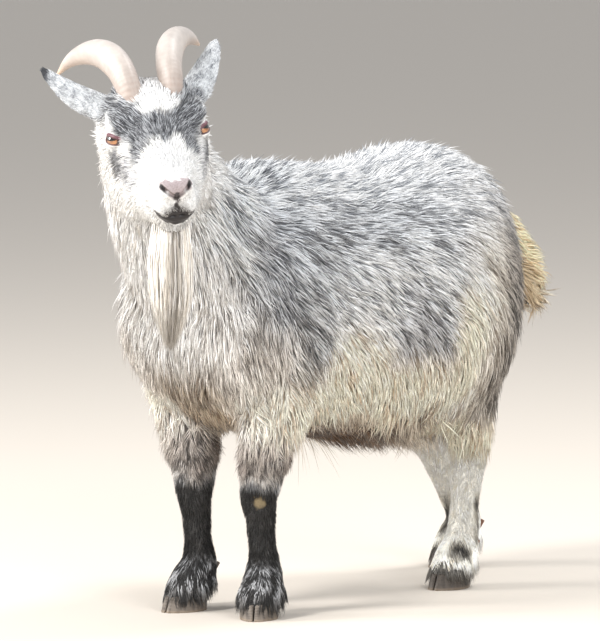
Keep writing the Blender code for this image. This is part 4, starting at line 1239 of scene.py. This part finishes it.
def make_eye(side):
    """A ball with a slightly domed front, painted in rings round the way it looks."""
    centre, out, _, _ = eye_axes(side)
    bm = bmesh.new()
    bmesh.ops.create_icosphere(bm, subdivisions=6, radius=EYE_RADIUS, matrix=Matrix.Translation(centre))
    mesh = mesh_of(bm, f"eyeball_{SIDES[side]}")
    head = points_of(mesh)
    away = head - np.array(centre)
    level = HEAD_BACK[:3, :3] @ np.array((0, 0, 1))
    level = level - np.array(out) * (level @ np.array(out))
    level /= np.linalg.norm(level)
    rise = away @ level
    run = away @ np.cross(level, np.array(out))
    off = np.hypot(rise, run)
    front = away @ np.array(out) > 0
    turn = np.arctan2(rise, run)
    rays = 0.85 + 0.15 * np.sin(turn * 41 + 3 * np.sin(turn * 7)) + 0.08 * np.sin(turn * 97)
    iris = tone(*IRIS)[None] * rays[:, None]
    iris = blend(iris, tone(*PUPIL_EDGE), 0.6 * (1 - ease(off, 0.0030, 0.0055)))
    iris = blend(iris, tone(*IRIS_EDGE), ease(off, IRIS_HALF - 0.0016, IRIS_HALF - 0.0004))
    colour = np.tile(tone(*WHITE_OF_EYE), (len(head), 1))
    colour = blend(colour, iris, (1 - ease(off, IRIS_HALF - 0.0004, IRIS_HALF + 0.0003)) * front)
    # Painted shade: the large, raised slit also darkens the eye under the upper lid.
    slit = np.abs(run / PUPIL_HALF_LENGTH) ** 3 + np.abs((rise - PUPIL_LIFT) / PUPIL_HALF_HEIGHT) ** 3
    colour = blend(colour, tone(*PUPIL), (1 - ease(slit, 0.75, 1.25)) * front)
    dome = EYE_DOME * (1 - ease(off, 0.002, IRIS_HALF)) * front
    move_points(mesh, out_of_head(head + away / EYE_RADIUS * dome[:, None]))
    coloured(mesh, "shade", np.clip(colour, 0, 1))
    mesh.shade_smooth()
    mesh.materials.append(glass)
    piece = finished(mesh.name, mesh)
    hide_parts(f"eye_{SIDES[side]}")


for side in SIDES:
    make_eye(side)

# Horns ---------------------------------------------------------------------------------------------
# Hollow horn over a bony core, grown back from the brow and out to the side. The hide ends in a ring of
# short hair round each base, where the horn is ridged by yearly growth; it is smooth towards the tip.

HORN_ROWS = [  # distance from the middle, back, height, half width, half depth, in the head's axes
    (0.0205, 0.004, 0.010, 0.0126, 0.0160),
    (0.0215, 0.010, 0.022, 0.0132, 0.0168),
    (0.0240, 0.024, 0.038, 0.0134, 0.0170),
    (0.0278, 0.0455, 0.0490, 0.0142, 0.0179),
    (0.0348, 0.0685, 0.0525, 0.0146, 0.0178),
    (0.0450, 0.0925, 0.0480, 0.0130, 0.0153),
    (0.0575, 0.1180, 0.0345, 0.0098, 0.0113),
    (0.0705, 0.1420, 0.0140, 0.0060, 0.0068),
    (0.0815, 0.1600, -0.0105, 0.0014, 0.0015),
]
HORN_SIDES, HORN_STEPS = 48, 150
LEFT_HORN_LIFT, LEFT_HORN_IN = 0.015, 0.0045  # at its tip, against the right one
HORN_RINGS, HORN_RING_DEPTH = 34, 0.020  # ridges of growth, and how far they stand out at the base
HORN_TOP, HORN_UNDERSIDE = (182, 174, 168), (168, 150, 138)
HORN_BASE, HORN_TIP = (148, 130, 120), (206, 176, 150)


def smooth_row(rows, at):
    """A row between the given ones, on a curve through all of them."""
    rows = np.array(rows)
    i = min(int(at), len(rows) - 2)
    t = at - i
    before, one, two, after = (rows[min(max(i + k, 0), len(rows) - 1)] for k in (-1, 0, 1, 2))
    return 0.5 * (2 * one + (two - before) * t + (2 * before - 5 * one + 4 * two - after) * t**2
                  + (3 * one - before - 3 * two + after) * t**3)


def horn_finish():
    """Cream horn, browner and scaly at the base, with fibres running along it and a soft polish."""
    finish, tree, shader = new_finish("horn_finish", 0.42, 0.45)
    blotch = add_noise(tree, 120, 5.0)
    add_colour(tree, shader, blotch, 0.45, (0.35, 0.65), (0.80, 1.10))
    tree.links.new(ranged(tree, blotch, (0.30, 0.60)), shader.inputs["Roughness"])
    add_bump(tree, shader, add_noise(tree, 700, 3.0), 0.25, 0.0005)
    return finish


horn = horn_finish()


def horn_rows(side):
    """The rows of one horn; the left one stands a little higher and closer at its tip."""
    rows = []
    for i, (x, y, z, half, deep) in enumerate(HORN_ROWS):
        grown = max(i - 1, 0)
        if side > 0:
            x -= LEFT_HORN_IN * min(1, grown / 3)
            z += LEFT_HORN_LIFT * (grown / 7) ** 3
        rows.append((x * side, y, z, half, deep))
    return rows


def horn_tone(share, turn, ring):
    """Its colour by the share of its length, the turn round it and the ridge of growth."""
    under = 1 - float(ease(math.sin(turn), -0.9, 0.3))
    streak = 0.5 + 0.5 * math.sin(7 * turn + 5 * math.sin(3 * turn + 9 * share))
    stain = (1 - float(ease(share, 0.16, 0.46))) * (0.48 + 0.16 * (1 - ring) + 0.16 * streak)
    tip = float(ease(share, 0.86, 1.0))
    colour = tone(*HORN_TOP)
    for shade, amount in ((HORN_UNDERSIDE, 0.80 * under), (HORN_BASE, stain), (HORN_TIP, 0.7 * tip)):
        colour = colour + (tone(*shade) - colour) * amount
    return colour


def make_horn(side):
    """Rings from the brow to the tip, fluted and ridged towards the base, bridged and closed."""
    rows = horn_rows(side)
    bm = bmesh.new()
    rings, shades, last = [], [], len(rows) - 1
    for step in range(HORN_STEPS + 1):
        share = step / HORN_STEPS
        row = smooth_row(rows, share * last)
        ahead = smooth_row(rows, min(share * last + 0.02, last))[:3]
        behind = smooth_row(rows, max(share * last - 0.02, 0))[:3]
        along = Vector(ahead - behind).normalized()
        front = Vector((0, 0.3, 1))
        front = (front - along * front.dot(along)).normalized()
        wide = along.cross(front)
        base_age = 1 - float(ease(share, 0.12, 0.62))
        ring = 0.5 + 0.5 * math.sin(2 * math.pi * (share * HORN_RINGS + 0.6 * math.sin(share * 21)))
        swell = 1 + HORN_RING_DEPTH * base_age * (ring**1.5 - 0.4)
        circle = bmesh.ops.create_circle(bm, segments=HORN_SIDES, radius=1)["verts"]
        for corner, vertex in enumerate(circle):
            turn = 2 * math.pi * corner / HORN_SIDES
            flute = 1 + 0.010 * base_age * math.sin(9 * turn + 4 * share) + 0.004 * math.sin(23 * turn)
            reach = wide * math.cos(turn) * row[3] + front * math.sin(turn) * row[4]
            vertex.co = HEAD @ (Vector(row[:3]) + reach * swell * flute)
            shades.append(horn_tone(share, turn, ring))
        bm.edges.ensure_lookup_table()
        rings.append(bm.edges[-HORN_SIDES:])
    for one, two in zip(rings, rings[1:]):
        bmesh.ops.bridge_loops(bm, edges=one + two)
    bmesh.ops.holes_fill(bm, edges=rings[0] + rings[-1], sides=HORN_SIDES)
    bmesh.ops.recalc_face_normals(bm, faces=bm.faces)
    mesh = mesh_of(bm, f"horn_sheath_{SIDES[side]}")
    coloured(mesh, "shade", np.array(shades))
    mesh.shade_smooth()
    mesh.materials.append(horn)
    piece = finished(mesh.name, mesh)
    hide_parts(f"horn_{SIDES[side]}")


for side in SIDES:
    make_horn(side)

# Hooves --------------------------------------------------------------------------------------------
# Two horny claws to each foot and two dewclaws behind it. They are grey-brown horn, ringed by growth and
# worn at the edge of the sole, which is flat on the ground. The hair of the pastern falls over their tops.

HOOF_GRAIN, DEWCLAW_GRAIN = 0.0008, 0.0005
DEWCLAW_SHOWN = 0.56  # the part of it that stands clear of the hair
RING_GAP, RING_DEPTH = 0.0034, 0.00022  # between the rings of growth
FLAT_SOLE = 0.0007  # what is lower is worn level with the ground
FORE_HORN, HIND_HORN, DEEP_HORN = (122, 113, 104), (92, 85, 78), (66, 59, 54)
HIND_DEWCLAW, WORN_EDGE = (128, 84, 62), (150, 132, 112)


def hoof_finish():
    """Dull horn, streaked up and down."""
    finish, tree, shader = new_finish("hoof_finish", 0.55, 0.35)
    tree.links.new(stored_colour(tree), shader.inputs["Base Color"])
    streaks = add_noise(tree, 260, 4.0, (1, 1, 0.25))
    tree.links.new(ranged(tree, streaks, (0.42, 0.80)), shader.inputs["Roughness"])
    add_bump(tree, shader, streaks, 0.45, 0.0009)
    return finish


hoof_horn = hoof_finish()


def rounded(node, grain):
    """A claw's solid with its hard edges worn round."""
    return with_modifiers(
        mesh_of(copied(node, 0.0), "claw"),
        ("REMESH", {"mode": "VOXEL", "voxel_size": grain}),
        ("SMOOTH", {"factor": 0.5, "iterations": 6}),
        ("DECIMATE", {"ratio": 0.45, "use_collapse_triangulate": True}),
    )


def make_hooves(leg):
    """One foot's pair of claws and its pair of dewclaws, which are drawn in to what the hair leaves bare."""
    front = leg.startswith("front")
    for kind, title, grain in (("claw", "hooves", HOOF_GRAIN), ("dewclaw", "dewclaws", DEWCLAW_GRAIN)):
        bm = bmesh.new()
        nodes = [f"{kind}_{leg}_{place}" for place in ("outer", "inner")]
        for node in nodes:
            part = rounded(node, grain)
            bm.from_mesh(part)
            bpy.data.meshes.remove(part)
        mesh = mesh_of(bm, f"{title}_{leg}")
        points, normals = points_of(mesh), normals_of(mesh)
        slope = points[:, 2] + 0.25 * points[:, 1]
        rings = np.sin(2 * math.pi * slope / RING_GAP + 1.5 * ripple(points, 0.02, 61))
        unworn = ease(points[:, 2], 0.002, 0.006)
        points = points + normals * (RING_DEPTH * rings * unworn)[:, None]
        if kind == "dewclaw":
            for node in nodes:
                low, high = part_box(node)
                mine = np.abs(points[:, 0] - (low.x + high.x) / 2) < (high.x - low.x) / 2 + 0.002
                root = np.array(((low.x + high.x) / 2, low.y, high.z))
                points[mine] = root + (points[mine] - root) * DEWCLAW_SHOWN
        else:
            points[:, 2] = np.where(points[:, 2] < FLAT_SOLE, 0.0, points[:, 2])
        points[:, 2] = np.maximum(points[:, 2], 0.0)
        move_points(mesh, points)
        fleck = np.clip(0.5 + 0.5 * ripple(points * (1, 1, 0.3), 0.006, 62), 0, 1)
        height = ease(points[:, 2], 0.0, 0.024)
        mixed = np.clip(0.55 * fleck + 0.25 * (0.5 + 0.5 * rings) + 0.25 * height, 0, 1)
        colour = blend(tone(*(FORE_HORN if front else HIND_HORN)), tone(*DEEP_HORN), mixed)
        if kind == "dewclaw" and not front:
            colour = colour + (tone(*HIND_DEWCLAW) - colour) * 0.6
        colour = blend(colour, tone(*WORN_EDGE), 0.5 * (1 - ease(points[:, 2], 0.0008, 0.0040)))
        coloured(mesh, "shade", colour)
        mesh.shade_smooth()
        mesh.materials.append(hoof_horn)
        piece = finished(mesh.name, mesh)
        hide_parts(*nodes)


for leg in LEGS:
    make_hooves(leg)

# Studio --------------------------------------------------------------------------------------------
# A plain pale floor that runs on into a pale surround. The main light is high on the left of the camera,
# with a low one further left, a weaker broad one on the right and a soft one from above and behind.

FLOOR_SIZE = 40
LIGHTS_AIM = Vector((0, 0, 0.32))
CAMERA_TURN, CAMERA_RISE, CAMERA_AWAY = math.radians(40), math.radians(5.5), 8.0
CAMERA_AIM, CAMERA_LENS = Vector((-0.0246, -0.0027, 0.312)), 400


def make_floor():
    """The ground of the display, which isn't a part of the goat."""
    bm = bmesh.new()
    bmesh.ops.create_grid(bm, x_segments=8, y_segments=8, size=FLOOR_SIZE / 2)
    mesh = mesh_of(bm, "floor")
    finish, _, shader = new_finish("floor_finish", 0.75, 0.2)
    shader.inputs["Base Color"].default_value = (*tone(214, 206, 196), 1)
    mesh.materials.append(finish)
    floor = placed("floor", mesh)


def soft_light(name, place, size, power, warmth):
    light = bpy.data.lights.new(name, "AREA")
    light.shape, light.size = "DISK", size
    light.energy, light.color = power, warmth
    lamp = placed(name, light)
    lamp.location = place
    lamp.rotation_euler = (Vector(place) - LIGHTS_AIM).to_track_quat("Z", "Y").to_euler()


make_floor()
soft_light("key_light", (-0.7, -3.0, 2.8), 0.9, 124, (1.0, 0.98, 0.95))
soft_light("fill_light", (3.3, -1.3, 1.5), 2.2, 88, (0.98, 0.99, 1.0))
soft_light("side_light", (-2.5, -2.3, 1.3), 1.6, 110, (1.0, 0.99, 0.97))
soft_light("top_light", (0.6, 1.6, 3.2), 1.2, 62, (1.0, 0.99, 0.97))
surround = bpy.data.worlds.new("surround")
surround.use_nodes = True
surround.node_tree.nodes["Background"].inputs["Color"].default_value = (0.80, 0.82, 0.85, 1)
surround.node_tree.nodes["Background"].inputs["Strength"].default_value = 0.72
bpy.context.scene.world = surround
bpy.context.scene.view_settings.view_transform = "Standard"

camera = bpy.data.cameras.new("camera")
camera.lens, camera.sensor_width, camera.sensor_fit = CAMERA_LENS, 36, "AUTO"
camera.clip_end = 100
viewer = placed("camera", camera)
back = Vector((
    math.sin(CAMERA_TURN) * math.cos(CAMERA_RISE),
    -math.cos(CAMERA_TURN) * math.cos(CAMERA_RISE),
    math.sin(CAMERA_RISE),
))
viewer.location = CAMERA_AIM + back * CAMERA_AWAY
viewer.rotation_euler = back.to_track_quat("Z", "Y").to_euler()
bpy.context.scene.camera = viewer
